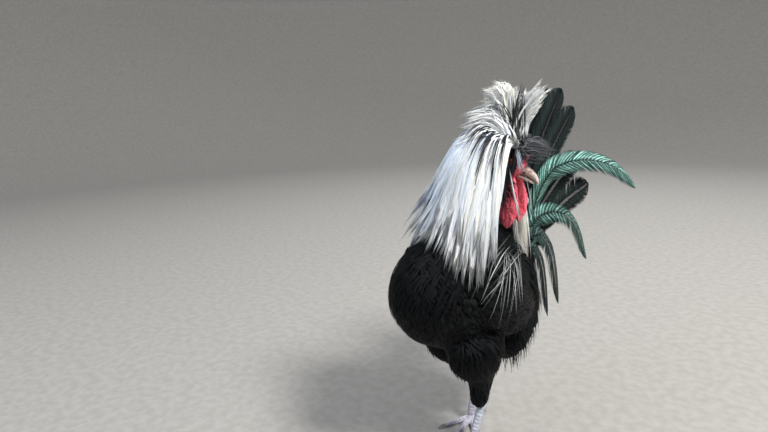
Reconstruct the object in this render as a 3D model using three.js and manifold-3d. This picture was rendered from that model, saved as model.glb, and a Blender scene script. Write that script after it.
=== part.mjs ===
// A white crested black Polish cock, life size, standing with its head turned to its left.
//
// Units are millimetres and +Z is up. The bird faces -Y, so its left side is +X. The floor is z = 0.
// Every solid is the outer shape of what it stands for, feathers included, and each tail plume is a
// thin blade of its own. Neighbouring pieces are cut so that they meet with a hairline gap.

import * as THREE from "three";
import { mergeVertices } from "three/addons/utils/BufferGeometryUtils.js";
import Module from "manifold-3d";

const wasm = await Module();
wasm.setup();

// Driving dimensions
const GAP = 0.35; // the hairline between two pieces that touch
const TOLERANCE = 0.15; // how far a piece may be smoothed before and after it is cut
const SHANK_HEIGHT = 82; // floor to the middle of the hock
const STANCE = { left: 29, right: -17.5 }; // each foot's place across the body
const STRIDE = { left: -29, right: 24 }; // each foot's place along the body, forward being negative
const TOE_TURN = { left: 6, right: 14 }; // degrees that each foot points to the bird's left
const EYE_RADIUS = 5.8;
const WATTLE_LENGTH = { left: 70, right: 78 };
const BLADE_THICKNESS = 1.5; // of a tail feather at its quill
const SICKLE_WIDTH = 29;
const MIDDLE_TOE = 62;
const TAIL_BEND = 0.2; // radians that a main tail feather bends back from its root to its tip

const HEAD = {
  at: [41, 37, 413], // middle of the skull
  turn: 112, // degrees from straight ahead towards the bird's left
  nod: 23, // degrees that the beak points down
};

const black = { color: 0x0c0e10, roughness: 0.42, metalness: 0 };
const gloss = { color: 0x0f2a22, roughness: 0.35, metalness: 0 };
const white = { color: 0xf1efe6, roughness: 0.65, metalness: 0 };
const red = { color: 0xc8202c, roughness: 0.5, metalness: 0 };
const horn = { color: 0xcbb6a2, roughness: 0.4, metalness: 0 };
const slate = { color: 0xb4bcc8, roughness: 0.55, metalness: 0 };
const claw = { color: 0x8b8378, roughness: 0.4, metalness: 0 };
const iris = { color: 0x6b2a12, roughness: 0.1, metalness: 0 };

const radians = THREE.MathUtils.degToRad;
const vector = (p) => new THREE.Vector3(...p);

// The solid of a closed geometry.
function solidOf(geometry) {
  const plain = geometry.clone();
  plain.deleteAttribute("normal");
  plain.deleteAttribute("uv");
  const merged = mergeVertices(plain, 1e-4);
  return new wasm.Manifold(
    new wasm.Mesh({
      numProp: 3,
      vertProperties: new Float32Array(merged.attributes.position.array),
      triVerts: new Uint32Array(merged.index.array),
    }),
  );
}

// The geometry of a solid.
function geometryOf(solid) {
  const mesh = solid.getMesh();
  const geometry = new THREE.BufferGeometry();
  geometry.setAttribute("position", new THREE.BufferAttribute(mesh.vertProperties, 3));
  geometry.setIndex(new THREE.BufferAttribute(mesh.triVerts, 1));
  geometry.computeVertexNormals();
  return geometry;
}

// The solid of a geometry whose skin is moved out by a distance, to cut a neighbour with.
function grownSolid(geometry, distance) {
  const plain = geometry.clone();
  plain.deleteAttribute("normal");
  plain.deleteAttribute("uv");
  const merged = mergeVertices(plain, 1e-4);
  merged.computeVertexNormals();
  const place = merged.attributes.position;
  const normal = merged.attributes.normal;
  for (let i = 0; i < place.count; i++) {
    place.setXYZ(
      i,
      place.getX(i) + normal.getX(i) * distance,
      place.getY(i) + normal.getY(i) * distance,
      place.getZ(i) + normal.getZ(i) * distance,
    );
  }
  return solidOf(merged);
}

// How full a section is at t along a body whose end is rounded over the share "over".
function rounding(t, over) {
  return over > 0 && t < over ? Math.sqrt(1 - (1 - t / over) ** 2) : 1;
}

// A closed body along a smooth spine. Each station is [x, y, z, half width, half depth]. The depth
// lies along up. The ends are rounded over shares of the spine, and sides and rings set the facets.
// A section's power below 2 pinches its edges, and one above 2 squares them.
function lofted({ stations, up = [0, 0, 1], sides = 20, rings = 16, ends = [0.25, 0.25], power = 2 }) {
  const spine = new THREE.CatmullRomCurve3(stations.map((s) => new THREE.Vector3(s[0], s[1], s[2])));
  const size = new THREE.CatmullRomCurve3(stations.map((s) => new THREE.Vector3(s[3], s[4], 0)));
  const geometry = new THREE.SphereGeometry(1, sides, rings);
  const place = geometry.attributes.position;
  const upward = vector(up);
  for (let i = 0; i < place.count; i++) {
    const ball = new THREE.Vector3().fromBufferAttribute(place, i);
    const t = THREE.MathUtils.clamp((1 - ball.y) / 2, 0, 1);
    const middle = spine.getPoint(t);
    const along = spine.getTangent(THREE.MathUtils.clamp(t, 0.001, 0.999));
    const across = new THREE.Vector3().crossVectors(upward, along).normalize();
    const over = new THREE.Vector3().crossVectors(along, across);
    const half = size.getPoint(t);
    const full = rounding(t, ends[0]) * rounding(1 - t, ends[1]);
    const ring = Math.hypot(ball.x, ball.z) || 1;
    const c = ball.x / ring;
    const s = ball.z / ring;
    const bend = (value) => Math.sign(value) * Math.abs(value) ** (2 / power);
    const pole = Math.abs(ball.y) > 0.99999 ? 0 : full;
    middle.addScaledVector(across, bend(c) * Math.max(half.x, 0.05) * pole);
    middle.addScaledVector(over, bend(s) * Math.max(half.y, 0.05) * pole);
    place.setXYZ(i, middle.x, middle.y, middle.z);
  }
  return geometry;
}

// An ellipsoid at a point, with its three half axes, turned by degrees about X, Y and Z.
function ellipsoid(at, radii, turned = [0, 0, 0], sides = 16, rings = 10) {
  const geometry = new THREE.SphereGeometry(1, sides, rings);
  geometry.rotateX(Math.PI / 2);
  geometry.scale(...radii);
  geometry.rotateX(radians(turned[0]));
  geometry.rotateY(radians(turned[1]));
  geometry.rotateZ(radians(turned[2]));
  geometry.translate(...at);
  return geometry;
}

// The object, its pieces in the order in which they keep their shape: a later piece is cut by an
// earlier one that it would run into.
const bird = new THREE.Group();
const placed = [];

function frameAt(parent, at, turned) {
  const group = new THREE.Group();
  group.position.set(...at);
  group.rotation.set(...turned.map(radians), "ZYX");
  parent.add(group);
  return group;
}

function addPiece(name, geometry, finish, { parent = bird, under = null } = {}) {
  bird.updateMatrixWorld(true);
  const world = geometry.clone().applyMatrix4(parent.matrixWorld);
  let solid = solidOf(world).simplify(TOLERANCE);
  if (solid.volume() < 0) throw new Error(name + " is inside out");
  const box = new THREE.Box3().setFromBufferAttribute(world.attributes.position);
  box.expandByScalar(1);
  for (const other of placed) {
    if (box.intersectsBox(other.box)) solid = solid.subtract(other.grown);
  }
  if (under) solid = solid.subtract(under);
  const largest = solid.simplify(TOLERANCE).decompose().sort((a, b) => b.volume() - a.volume())[0];
  const carved = geometryOf(largest);
  placed.push({ box, grown: solidOf(world).add(grownSolid(world, GAP)) });
  const local = carved.applyMatrix4(parent.matrixWorld.clone().invert());
  const mesh = new THREE.Mesh(local, new THREE.MeshStandardMaterial(finish));
  mesh.name = name;
  parent.add(mesh);
}

const sideSigns = { left: 1, right: -1 };

// Trunk: breast, belly, back and the root of the tail under their feathers
const trunkStations = [
  [0, 122, 286, 17, 20],
  [0, 92, 272, 44, 46],
  [0, 40, 252, 62, 74],
  [0, -20, 238, 71, 88],
  [0, -80, 245, 66, 74],
  [0, -142, 255, 45, 52],
];

function addTrunk() {
  addPiece("trunk", lofted({ stations: trunkStations, sides: 20, rings: 13, ends: [0.1, 0.16] }), black);
}

function addVentFluff() {
  const stations = [
    [0, 14, 176, 50, 48],
    [0, 58, 164, 60, 60],
    [0, 99, 204, 45, 52],
    [0, 122, 254, 16, 18],
  ];
  addPiece("vent_fluff", lofted({ stations, sides: 12, rings: 8, ends: [0.3, 0.3] }), black);
}

// Neck with its hackle, widest where it lies on the shoulders
const neckStations = [
  [0, -42, 286, 56, 48],
  [5, -31, 326, 44, 42],
  [12, -12, 362, 34, 35],
  [27, 12, 392, 25, 25],
  [35, 27, 409, 20, 19],
];

function addNeck() {
  addPiece(
    "neck",
    lofted({ stations: neckStations, up: [0, -1, 0], sides: 14, rings: 8, ends: [0.15, 0.1] }),
    black,
  );
}

// Folded wings: a flat shield over each flank, its point under the saddle
function addWing(side) {
  const sign = sideSigns[side];
  const stations = [
    [57 * sign, -82, 272, 10, 28],
    [67 * sign, -46, 262, 13, 50],
    [71 * sign, 2, 240, 14, 60],
    [64 * sign, 46, 222, 12, 50],
    [46 * sign, 86, 212, 8, 31],
    [32 * sign, 116, 203, 3, 9],
  ];
  addPiece("wing_" + side, lofted({ stations, sides: 12, rings: 11, ends: [0.2, 0.12] }), black);
}

// Legs
const hocks = {
  left: [27, 2, SHANK_HEIGHT],
  right: [-18.5, 46, SHANK_HEIGHT],
};
const ankles = {
  left: [STANCE.left, STRIDE.left, 13],
  right: [STANCE.right, STRIDE.right, 13],
};

// Thighs from the hip down over the hock, the right one further back
const thighStations = {
  left: [
    [42, -42, 198, 38, 54],
    [38, -34, 154, 35, 46],
    [33, -19, 124, 23, 30],
    [29, -13, 98, 15.5, 20],
    [27.5, -16, 57, 11, 13.5],
  ],
  right: [
    [-42, -7, 198, 38, 56],
    [-37, 0, 154, 35, 52],
    [-30, 17, 122, 25, 35],
    [-23, 36, 96, 14, 17],
    [-18, 35, 52, 10, 11],
  ],
};

function addThigh(side) {
  const shape = { stations: thighStations[side], up: [0, 1, 0], sides: 10, rings: 10, ends: [0.2, 0.05] };
  addPiece("thigh_" + side, lofted(shape), black);
}

// A toe from the ankle out along the floor, thick at its joints. It is trimmed flat underneath.
function toeGeometry(length, heading, thick) {
  const out = (share, z, half) => [
    Math.sin(heading) * length * share,
    -Math.cos(heading) * length * share,
    z,
    half,
    half,
  ];
  const stations = [
    out(-0.02, thick + 2.5, thick * 0.9),
    out(0.26, thick + 0.4, thick * 0.9),
    out(0.42, thick - 0.6, thick),
    out(0.6, thick - 1.2, thick * 0.8),
    out(0.78, thick - 1.3, thick * 0.84),
    out(1, thick - 1.8, thick * 0.6),
  ];
  return lofted({ stations, sides: 6, rings: 7, ends: [0.1, 0.08] });
}

// A claw that curves down from the end of a toe to the floor.
function clawGeometry(length, heading, reach, thick) {
  const out = (distance, z, half) => [
    Math.sin(heading) * distance,
    -Math.cos(heading) * distance,
    z,
    half,
    half,
  ];
  const stations = [
    out(reach - 1.5, thick + 1, thick * 0.75),
    out(reach + length * 0.4, thick + 1.1, thick * 0.66),
    out(reach + length * 0.8, thick * 0.8, thick * 0.42),
    out(reach + length, 0.8, 0.5),
  ];
  return lofted({ stations, sides: 6, rings: 5, ends: [0.1, 0.1] });
}

const toes = [
  { name: "middle", length: MIDDLE_TOE, heading: 0, thick: 5 },
  { name: "inner", length: 45, heading: -31, thick: 4.6 },
  { name: "outer", length: 49, heading: 36, thick: 4.6 },
  { name: "hind", length: 28, heading: -164, thick: 4.2 },
];

function addLeg(side) {
  const sign = sideSigns[side];
  const [ax, ay, az] = ankles[side];
  const [hx, hy, hz] = hocks[side];
  const floor = solidOf(new THREE.BoxGeometry(400, 400, 100).translate(ax, ay, -50));
  const foot = frameAt(bird, [ax, ay, 0], [0, 0, TOE_TURN[side]]);

  let sole = solidOf(ellipsoid([0, 0, 6], [8.6, 9.5, 8], [0, 0, 0], 8, 5));
  for (const toe of toes) {
    const heading = radians(toe.heading * sign);
    sole = sole.add(solidOf(toeGeometry(toe.length, heading, toe.thick)));
  }
  for (const toe of toes) {
    const heading = radians(toe.heading * sign);
    addPiece(
      "claw_" + side + "_" + toe.name,
      clawGeometry(toe.name === "hind" ? 9 : 12, heading, toe.length, toe.thick - 1.8),
      claw,
      { parent: foot, under: floor },
    );
  }
  addPiece("foot_" + side, geometryOf(sole), slate, { parent: foot, under: floor });

  const spurBase = vector(ankles[side]).lerp(vector(hocks[side]), 0.3);
  const spurStations = [
    [spurBase.x, spurBase.y + 2, spurBase.z, 4, 4],
    [spurBase.x - sign * 8, spurBase.y + 9, spurBase.z + 1, 2.9, 2.9],
    [spurBase.x - sign * 13, spurBase.y + 17, spurBase.z + 5, 0.7, 0.7],
  ];
  const shankStations = [
    [ax, ay, az - 2, 7.4, 7.8],
    [ax * 0.93 + hx * 0.07, ay * 0.93 + hy * 0.07, az + 8, 6.2, 6.8],
    [(ax + hx) / 2, (ay + hy) / 2, (az + hz) / 2, 5.8, 6.8],
    [hx, hy, hz - 4, 7.6, 8.8],
    [hx, hy, hz + 8, 6.8, 7.6],
  ];
  const shankShape = lofted({
    stations: shankStations,
    up: [0, 1, 0],
    sides: 8,
    rings: 8,
    ends: [0.06, 0.1],
  });
  addPiece("shank_" + side, shankShape, slate);
  const spurShape = lofted({ stations: spurStations, sides: 6, rings: 5, ends: [0.1, 0.1] });
  addPiece("spur_" + side, spurShape, claw);
}

// Head, in its own frame: +X along the beak, +Y to the head's left, +Z over the crown
const head = frameAt(bird, HEAD.at, [0, HEAD.nod, HEAD.turn - 90]);

function addHead() {
  const inHead = { parent: head };
  for (const side of ["left", "right"]) {
    const sign = sideSigns[side];
    const eyeball = ellipsoid([7, 14 * sign, 6], [EYE_RADIUS, 4.6, EYE_RADIUS], [0, 0, 0], 10, 6);
    addPiece("eye_" + side, eyeball, iris, inHead);
  }
  const upperBeak = [
    [14.6, 0, 0.6, 8.4, 7.4],
    [24.6, 0, 0.7, 7.2, 6.9],
    [34.7, 0, -1.3, 4.9, 5.2],
    [43.1, 0, -5.8, 2.6, 2.9],
    [47, 0, -11.2, 1, 1],
  ];
  const upperShape = lofted({ stations: upperBeak, sides: 12, rings: 9, ends: [0.15, 0.1] });
  addPiece("beak_upper", upperShape, horn, inHead);
  const lowerBeak = [
    [13.4, 0, -9.4, 7.8, 4],
    [24.6, 0, -9.4, 6, 3.4],
    [34.7, 0, -10.1, 4, 2.5],
    [42, 0, -11.4, 1.6, 1.1],
  ];
  const lowerShape = lofted({ stations: lowerBeak, sides: 10, rings: 7, ends: [0.15, 0.15] });
  addPiece("beak_lower", lowerShape, horn, inHead);
  const skull = [
    [-22.4, 0, 2.2, 12.3, 14.6],
    [-12.3, 0, 4.5, 16.2, 19.6],
    [2.2, 0, 3.8, 16.8, 19],
    [14.6, 0, 0, 12.8, 15.1],
    [22.4, 0, -2.7, 9, 10.8],
  ];
  addPiece("head", lofted({ stations: skull, sides: 12, rings: 8, ends: [0.3, 0.2] }), red, inHead);
  for (const side of ["left", "right"]) {
    const sign = sideSigns[side];
    const combHorn = [
      [16.8, 2.7 * sign, 11.2, 3.1, 2.9],
      [19, 4.9 * sign, 17.4, 2.7, 2.5],
      [19.6, 7.2 * sign, 23.5, 1.1, 1.1],
    ];
    const hornShape = { stations: combHorn, up: [1, 0, 0], sides: 6, rings: 5, ends: [0.2, 0.2] };
    addPiece("comb_" + side, lofted(hornShape), red, inHead);
    const lobe = ellipsoid([-8, 16.4 * sign, -7], [5.2, 2.8, 7.4], [6 * sign, 10, 0], 10, 6);
    addPiece("earlobe_" + side, lobe, white, inHead);
  }
}

// Wattles hang straight down from the jaw, so they are placed in the bird's own frame. Each starts
// at a place along the head and sways forward or back.
const wattleHang = {
  left: { from: 11, sway: 6, wide: 13.3 },
  right: { from: 8, sway: -3.6, wide: 16 },
};

function addWattle(side) {
  const sign = sideSigns[side];
  head.updateMatrixWorld(true);
  const lengthwise = WATTLE_LENGTH[side];
  const { from, sway, wide } = wattleHang[side];
  const root = head.localToWorld(new THREE.Vector3(from, 7.5 * sign, -11));
  const ahead = head.localToWorld(new THREE.Vector3(from + 1, 7.5 * sign, -11)).sub(root);
  ahead.setZ(0).normalize();
  const outward = new THREE.Vector3(-ahead.y, ahead.x, 0).multiplyScalar(sign);
  const station = (down, forward, out, half, thick) => {
    const p = root.clone().addScaledVector(ahead, forward).addScaledVector(outward, out);
    return [p.x, p.y, p.z - down, thick, half];
  };
  const stations = [
    station(-3, 0, 0, 6, 2),
    station(lengthwise * 0.25, sway * 0.5, 2.4, wide * 0.78, 2.2),
    station(lengthwise * 0.6, sway, 3.4, wide, 2.6),
    station(lengthwise, sway, 2, wide * 0.56, 1.9),
  ];
  const geometry = lofted({ stations, up: ahead.toArray(), sides: 8, rings: 7, ends: [0.15, 0.35] });
  addPiece("wattle_" + side, geometry, red);
}

// Crest: a mop that springs from a knob on the skull and drapes over the head and neck. Its frame has
// +X along the beak and +Z straight up. A bearing of 0 is over the back of the head, 90 over its right
// side and -90 over its left side. The back and the sides have their own profile: steps out and up
// from the knob to the feather tips.
const CREST = {
  at: [46, 40, 448],
  back: [[0, 0], [42, 26], [74, 6], [97, -34], [117, -72], [150, -118]],
  right: [[0, 0], [36, 4], [66, -22], [88, -74], [102, -129], [108, -184]],
  left: [[0, 0], [22, 4], [39, -20], [52, -68], [60, -120], [64, -170]],
};
const crest = frameAt(bird, CREST.at, [0, 0, HEAD.turn - 90]);

function profileCurve(steps) {
  const points = steps.map(([out, up]) => new THREE.Vector3(out, up, 0));
  return new THREE.CatmullRomCurve3(points, false, "catmullrom");
}
const profiles = {
  back: profileCurve(CREST.back),
  right: profileCurve(CREST.right),
  left: profileCurve(CREST.left),
};

// A point on the fall of the crest: v runs from the knob to the feather tips, and inset moves it in.
function drape(bearing, v, inset = 0) {
  const angle = radians(180 + bearing);
  const sideways = Math.abs(Math.sin(angle));
  const back = profiles.back.getPoint(v);
  const side = profiles[bearing > 0 ? "right" : "left"].getPoint(v);
  const out = Math.max(THREE.MathUtils.lerp(back.x, side.x, sideways ** 4) - inset, 0);
  const up = THREE.MathUtils.lerp(back.y, side.y, sideways ** 1.6);
  return new THREE.Vector3(Math.cos(angle) * out, Math.sin(angle) * out, up - inset * (1 - v));
}

// A lock of the crest between two bearings: a thick sheet that thins to a row of points.
function crestLock(from, to, { start = 0.12, thick = 24, columns = 6, rows = 5, notch = 0.07 } = {}) {
  const geometry = new THREE.BoxGeometry(1, 1, 1, columns, rows, 1);
  const place = geometry.attributes.position;
  for (let i = 0; i < place.count; i++) {
    const across = place.getX(i) + 0.5;
    const down = 0.5 - place.getY(i);
    const point = Math.round(across * columns) % 2;
    const v = start + (1 - start - notch * point * down) * down;
    const depth = 0.5 - place.getZ(i);
    const rim = 1 - 0.7 * (2 * across - 1) ** 4;
    const taper = 1 - 0.88 * Math.max(0, (v - 0.35) / 0.65) ** 1.6;
    const bearing = THREE.MathUtils.lerp(from, to, across);
    place.setXYZ(i, ...drape(bearing, v, depth * thick * rim * taper).toArray());
  }
  return geometry;
}

function addCrest() {
  const inCrest = { parent: crest };
  addPiece("crest_knob", ellipsoid([-6, 0, -8], [28, 28, 24], [0, 0, 0], 10, 6), white, inCrest);
  const tall = [
    [4, 0, 6, 9, 10],
    [9, -2, 32, 15, 13],
    [18, -3, 56, 14, 11],
    [35, -5, 80, 5, 3],
  ];
  const tallShape = { stations: tall, up: [0, 1, 0], sides: 8, rings: 8, ends: [0.1, 0.15] };
  addPiece("crest_tall_tuft", lofted(tallShape), white, inCrest);
  const curled = [
    [-9, -2, 8, 13, 13],
    [-14, -3, 34, 18, 15],
    [-19, -6, 54, 20, 14],
    [-25, -8, 68, 15, 9],
    [-34, -9, 79, 5, 4],
  ];
  const curledShape = { stations: curled, up: [0, 1, 0], sides: 8, rings: 9, ends: [0.1, 0.15] };
  addPiece("crest_curled_tuft", lofted(curledShape), white, inCrest);
  const front = [
    [8, 2, -12, 14, 12],
    [30, 1, -13, 19, 14],
    [54, 0, -19, 14, 12],
  ];
  const frontShape = { stations: front, sides: 10, rings: 6, ends: [0.25, 0.35] };
  addPiece("crest_front", lofted(frontShape), black, inCrest);
  addPiece("crest_right", crestLock(40, 90), white, inCrest);
  addPiece("crest_back", crestLock(-39, 39), white, inCrest);
  addPiece("crest_left", crestLock(-78, -40), white, inCrest);
}

// Tail: blades that fan up from the rump, and sickles that arch over behind them
const tailRoot = { y: 112, z: 292 };

// A feather blade along a spine. Its broad side faces facing.
function blade(points, widths, facing, { sides = 6, rings = 7 } = {}) {
  const stations = points.map((p, i) => {
    const thick = BLADE_THICKNESS * (1 - (0.45 * i) / (points.length - 1));
    return [...p, widths[i], thick / 2 + 0.25];
  });
  return lofted({ stations, up: facing, sides, rings, ends: [0.04, 0.16], power: 1.6 });
}

function addMainTail(side) {
  const sign = sideSigns[side];
  const count = 4;
  for (let i = 0; i < count; i++) {
    const lean = radians([63, 58, 45, 31][i]);
    const length = [247, 232, 180, 165][i];
    const plane = sign * (7 + 3.4 * i);
    const spread = 0.02 + 0.055 * i;
    const point = (share) => [
      plane + sign * spread * length * share,
      tailRoot.y - 6 + Math.cos(lean + TAIL_BEND * (1 - share)) * length * share,
      tailRoot.z - 6 * i + Math.sin(lean + TAIL_BEND * (1 - share)) * length * share,
    ];
    const widths = [5, 16, 23, 21];
    const facing = [sign, 0, 0.25];
    addPiece("tail_" + side + "_" + (i + 1), blade([0, 0.34, 0.7, 1].map(point), widths, facing), gloss);
  }
}

// A sickle rises from the rump, arches over and hangs by its tip. Each row of shares is one point
// of its spine: how much of its splay, reach, rise and hang it has there.
const sickleShares = [
  [0, 0, 0, 0],
  [0.08, 0.1, 0.62, 0],
  [0.3, 0.22, 0.95, 0],
  [0.56, 0.48, 1, 0.03],
  [0.8, 0.78, 0.82, 0.3],
  [1, 1, 0.48, 1],
];
function addSickle(name, sign, { out, splay, rise, reach, hang, width, root }) {
  const base = [sign * out, root[0], root[1]];
  const points = sickleShares.map(([aside, back, up, down]) => [
    base[0] + sign * splay * aside,
    base[1] + reach * back,
    base[2] + rise * up - hang * down,
  ]);
  const half = width / 2;
  const widths = [half * 0.5, half * 0.85, half, half, half * 0.8, half * 0.4];
  addPiece(name, blade(points, widths, [sign, 0, 0.35], { rings: 9 }), gloss);
}

const lesserSickles = [
  { rise: 42, reach: 132, hang: 68, width: 20 },
  { rise: 20, reach: 58, hang: 104, width: 17 },
  { rise: 12, reach: 38, hang: 104, width: 14 },
];

function addSickles(side) {
  const sign = sideSigns[side];
  addSickle("sickle_" + side, sign, {
    out: 24,
    splay: 58,
    rise: 112,
    reach: 242,
    hang: 0,
    width: SICKLE_WIDTH,
    root: [tailRoot.y - 4, tailRoot.z - 4],
  });
  lesserSickles.forEach((lesser, i) => {
    addSickle("lesser_sickle_" + side + "_" + (i + 1), sign, {
      out: 29 + 6 * i,
      splay: 30 - 4 * i,
      root: [tailRoot.y - 14 - 14 * i, tailRoot.z - 8 - 6 * i],
      ...lesser,
    });
  });
}

addHead();
addTrunk();
addNeck();
addWattle("left");
addWattle("right");
addVentFluff();
for (const side of ["left", "right"]) {
  addThigh(side);
  addLeg(side);
  addWing(side);
}
addCrest();
for (const side of ["left", "right"]) {
  addMainTail(side);
  addSickles(side);
}

// The origin is on the floor under the middle of the bird.
bird.updateMatrixWorld(true);
const bounds = new THREE.Box3().setFromObject(bird, true);
const middle = bounds.getCenter(new THREE.Vector3());
const cock = new THREE.Group();
bird.position.set(-middle.x, -middle.y, 0);
cock.add(bird);

export default cock;
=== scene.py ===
"""A white crested black Polish cock as a museum model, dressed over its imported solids.

One skin lies inside the solids of flesh. Plumage is laid over it as solid vanes in joined meshes. The
beak, eyes, claws, spurs and plumes are pieces of their own. Lengths are in metres, the bird faces -Y,
its left side is +X and +Z is up. The bird's own frame has its origin on the floor between the feet.
"""

from __future__ import annotations

import logging
import math
from dataclasses import dataclass, field
from enum import Enum
from itertools import product
from typing import Callable, Sequence

import bmesh
import bpy
import numpy as np
from mathutils import Matrix, Vector, noise
from mathutils.bvhtree import BVHTree

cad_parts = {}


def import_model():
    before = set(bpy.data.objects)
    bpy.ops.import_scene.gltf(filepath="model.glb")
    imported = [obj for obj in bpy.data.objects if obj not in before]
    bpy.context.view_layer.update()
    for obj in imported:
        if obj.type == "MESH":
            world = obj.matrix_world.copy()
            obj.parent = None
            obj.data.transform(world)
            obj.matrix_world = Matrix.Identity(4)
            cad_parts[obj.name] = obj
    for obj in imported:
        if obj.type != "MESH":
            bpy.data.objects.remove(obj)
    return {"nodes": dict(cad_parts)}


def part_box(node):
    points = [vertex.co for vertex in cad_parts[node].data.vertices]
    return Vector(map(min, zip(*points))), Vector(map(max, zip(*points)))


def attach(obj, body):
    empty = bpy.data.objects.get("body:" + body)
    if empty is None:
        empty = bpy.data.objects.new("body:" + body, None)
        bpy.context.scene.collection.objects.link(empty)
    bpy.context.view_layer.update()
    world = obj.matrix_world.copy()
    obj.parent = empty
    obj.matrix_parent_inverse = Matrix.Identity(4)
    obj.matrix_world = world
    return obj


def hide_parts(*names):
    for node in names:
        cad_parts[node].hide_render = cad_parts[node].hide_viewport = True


LOG = logging.getLogger("cock")
MM = 0.001
PATCH = 0.003  # side of a feather's patch on the unwrap
SEAM = 0.0004  # metres that solids grow by, which closes the gaps between them
TURN = 2 * math.pi
Array = np.ndarray
Point = tuple[float, float, float]
Colour = tuple[float, float, float, float]
Flow = Callable[[Array, Array], Array]
BarbTint = Callable[[Array, Array, np.random.Generator], Array]
SIDES: dict[str, int] = {"left": 1, "right": -1}


class Slot(Enum):
    """The record's material slots that pieces stand for."""

    BLACK = "black_plume"
    CREST = "white_crest"
    TAIL = "tail_plume"
    FACE = "face"
    BEAK = "beak"
    EYE = "eye"
    CLAW = "claw"


def unit(v: Array) -> Array:
    """Returns vectors scaled to length 1 along their last axis."""
    return v / np.maximum(np.linalg.norm(v, axis=-1, keepdims=True), 1e-12)


def smooth(low: float, high: float, x: Array) -> Array:
    """Returns a smooth step.

    Args:
        low: Where it is 0.
        high: Where it is 1, which may be below low.
        x: The places.

    Returns:
        Numbers from 0 to 1.
    """
    t = np.clip((x - low) / (high - low), 0.0, 1.0)
    return t * t * (3 - 2 * t)


def mixed(a: Array, b: Array, t: Array) -> Array:
    """Returns a blend from a to b."""
    return a + (b - a) * t


def catmull(points: Array, ts: Array) -> Array:
    """Runs a smooth curve through points.

    Args:
        points: The (m, d) points, evenly spaced in the curve's parameter.
        ts: Parameters from 0 to 1.

    Returns:
        The curve's points at ts.
    """
    p = np.asarray(points, float)
    p = np.vstack([2 * p[0] - p[1], p, 2 * p[-1] - p[-2]])
    x = np.clip(np.asarray(ts, float), 0, 1) * (len(p) - 3)
    i = np.minimum(x.astype(int), len(p) - 4)
    u = (x - i)[..., None]
    a, b, c, d = p[i], p[i + 1], p[i + 2], p[i + 3]
    return 0.5 * (2 * b + (c - a) * u + (2 * a - 5 * b + 4 * c - d) * u**2 + (3 * b - a - 3 * c + d) * u**3)


def threads(points: Array, stations: int) -> Array:
    """Runs one smooth curve through each row of guide points.

    Args:
        points: Guide points, (n, m, 3).
        stations: Points on each curve.

    Returns:
        The curves, (n, stations, 3).
    """
    swapped = np.moveaxis(np.asarray(points, float), 1, 0)
    flat = swapped.reshape(len(swapped), -1)
    return np.moveaxis(catmull(flat, np.linspace(0, 1, stations)).reshape(stations, -1, 3), 0, 1)


class Sock:
    """A shader socket that takes part in Python arithmetic."""

    def __init__(self, tree: bpy.types.NodeTree, socket: bpy.types.NodeSocket) -> None:
        """Keeps the tree and the output socket."""
        self.tree = tree
        self.socket = socket

    def _maths(self, operation: str, *values: object) -> "Sock":
        """Adds a Math node.

        Args:
            operation: The node's operation.
            *values: Numbers or sockets.

        Returns:
            The result's socket.
        """
        node = self.tree.nodes.new("ShaderNodeMath")
        node.operation = operation
        for socket, value in zip(node.inputs, values):
            if isinstance(value, Sock):
                self.tree.links.new(value.socket, socket)
            else:
                socket.default_value = float(value)
        return Sock(self.tree, node.outputs[0])

    def __add__(self, other: object) -> "Sock":
        """Adds."""
        return self._maths("ADD", self, other)

    __radd__ = __add__

    def __mul__(self, other: object) -> "Sock":
        """Multiplies."""
        return self._maths("MULTIPLY", self, other)

    __rmul__ = __mul__

    def __sub__(self, other: object) -> "Sock":
        """Subtracts."""
        return self._maths("SUBTRACT", self, other)

    def __rsub__(self, other: object) -> "Sock":
        """Subtracts this from a number."""
        return self._maths("SUBTRACT", other, self)

    def wave(self) -> "Sock":
        """Returns the sine."""
        return self._maths("SINE", self)

    def size(self) -> "Sock":
        """Returns the value without its sign."""
        return self._maths("ABSOLUTE", self)

    def step(self, low: float, high: float) -> "Sock":
        """Adds a smooth step.

        Args:
            low: Value below which it is 0.
            high: Value above which it is 1.

        Returns:
            The step's socket.
        """
        node = self.tree.nodes.new("ShaderNodeMapRange")
        node.interpolation_type = "SMOOTHSTEP"
        self.tree.links.new(self.socket, node.inputs["Value"])
        node.inputs["From Min"].default_value = low
        node.inputs["From Max"].default_value = high
        return Sock(self.tree, node.outputs["Result"])


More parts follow.
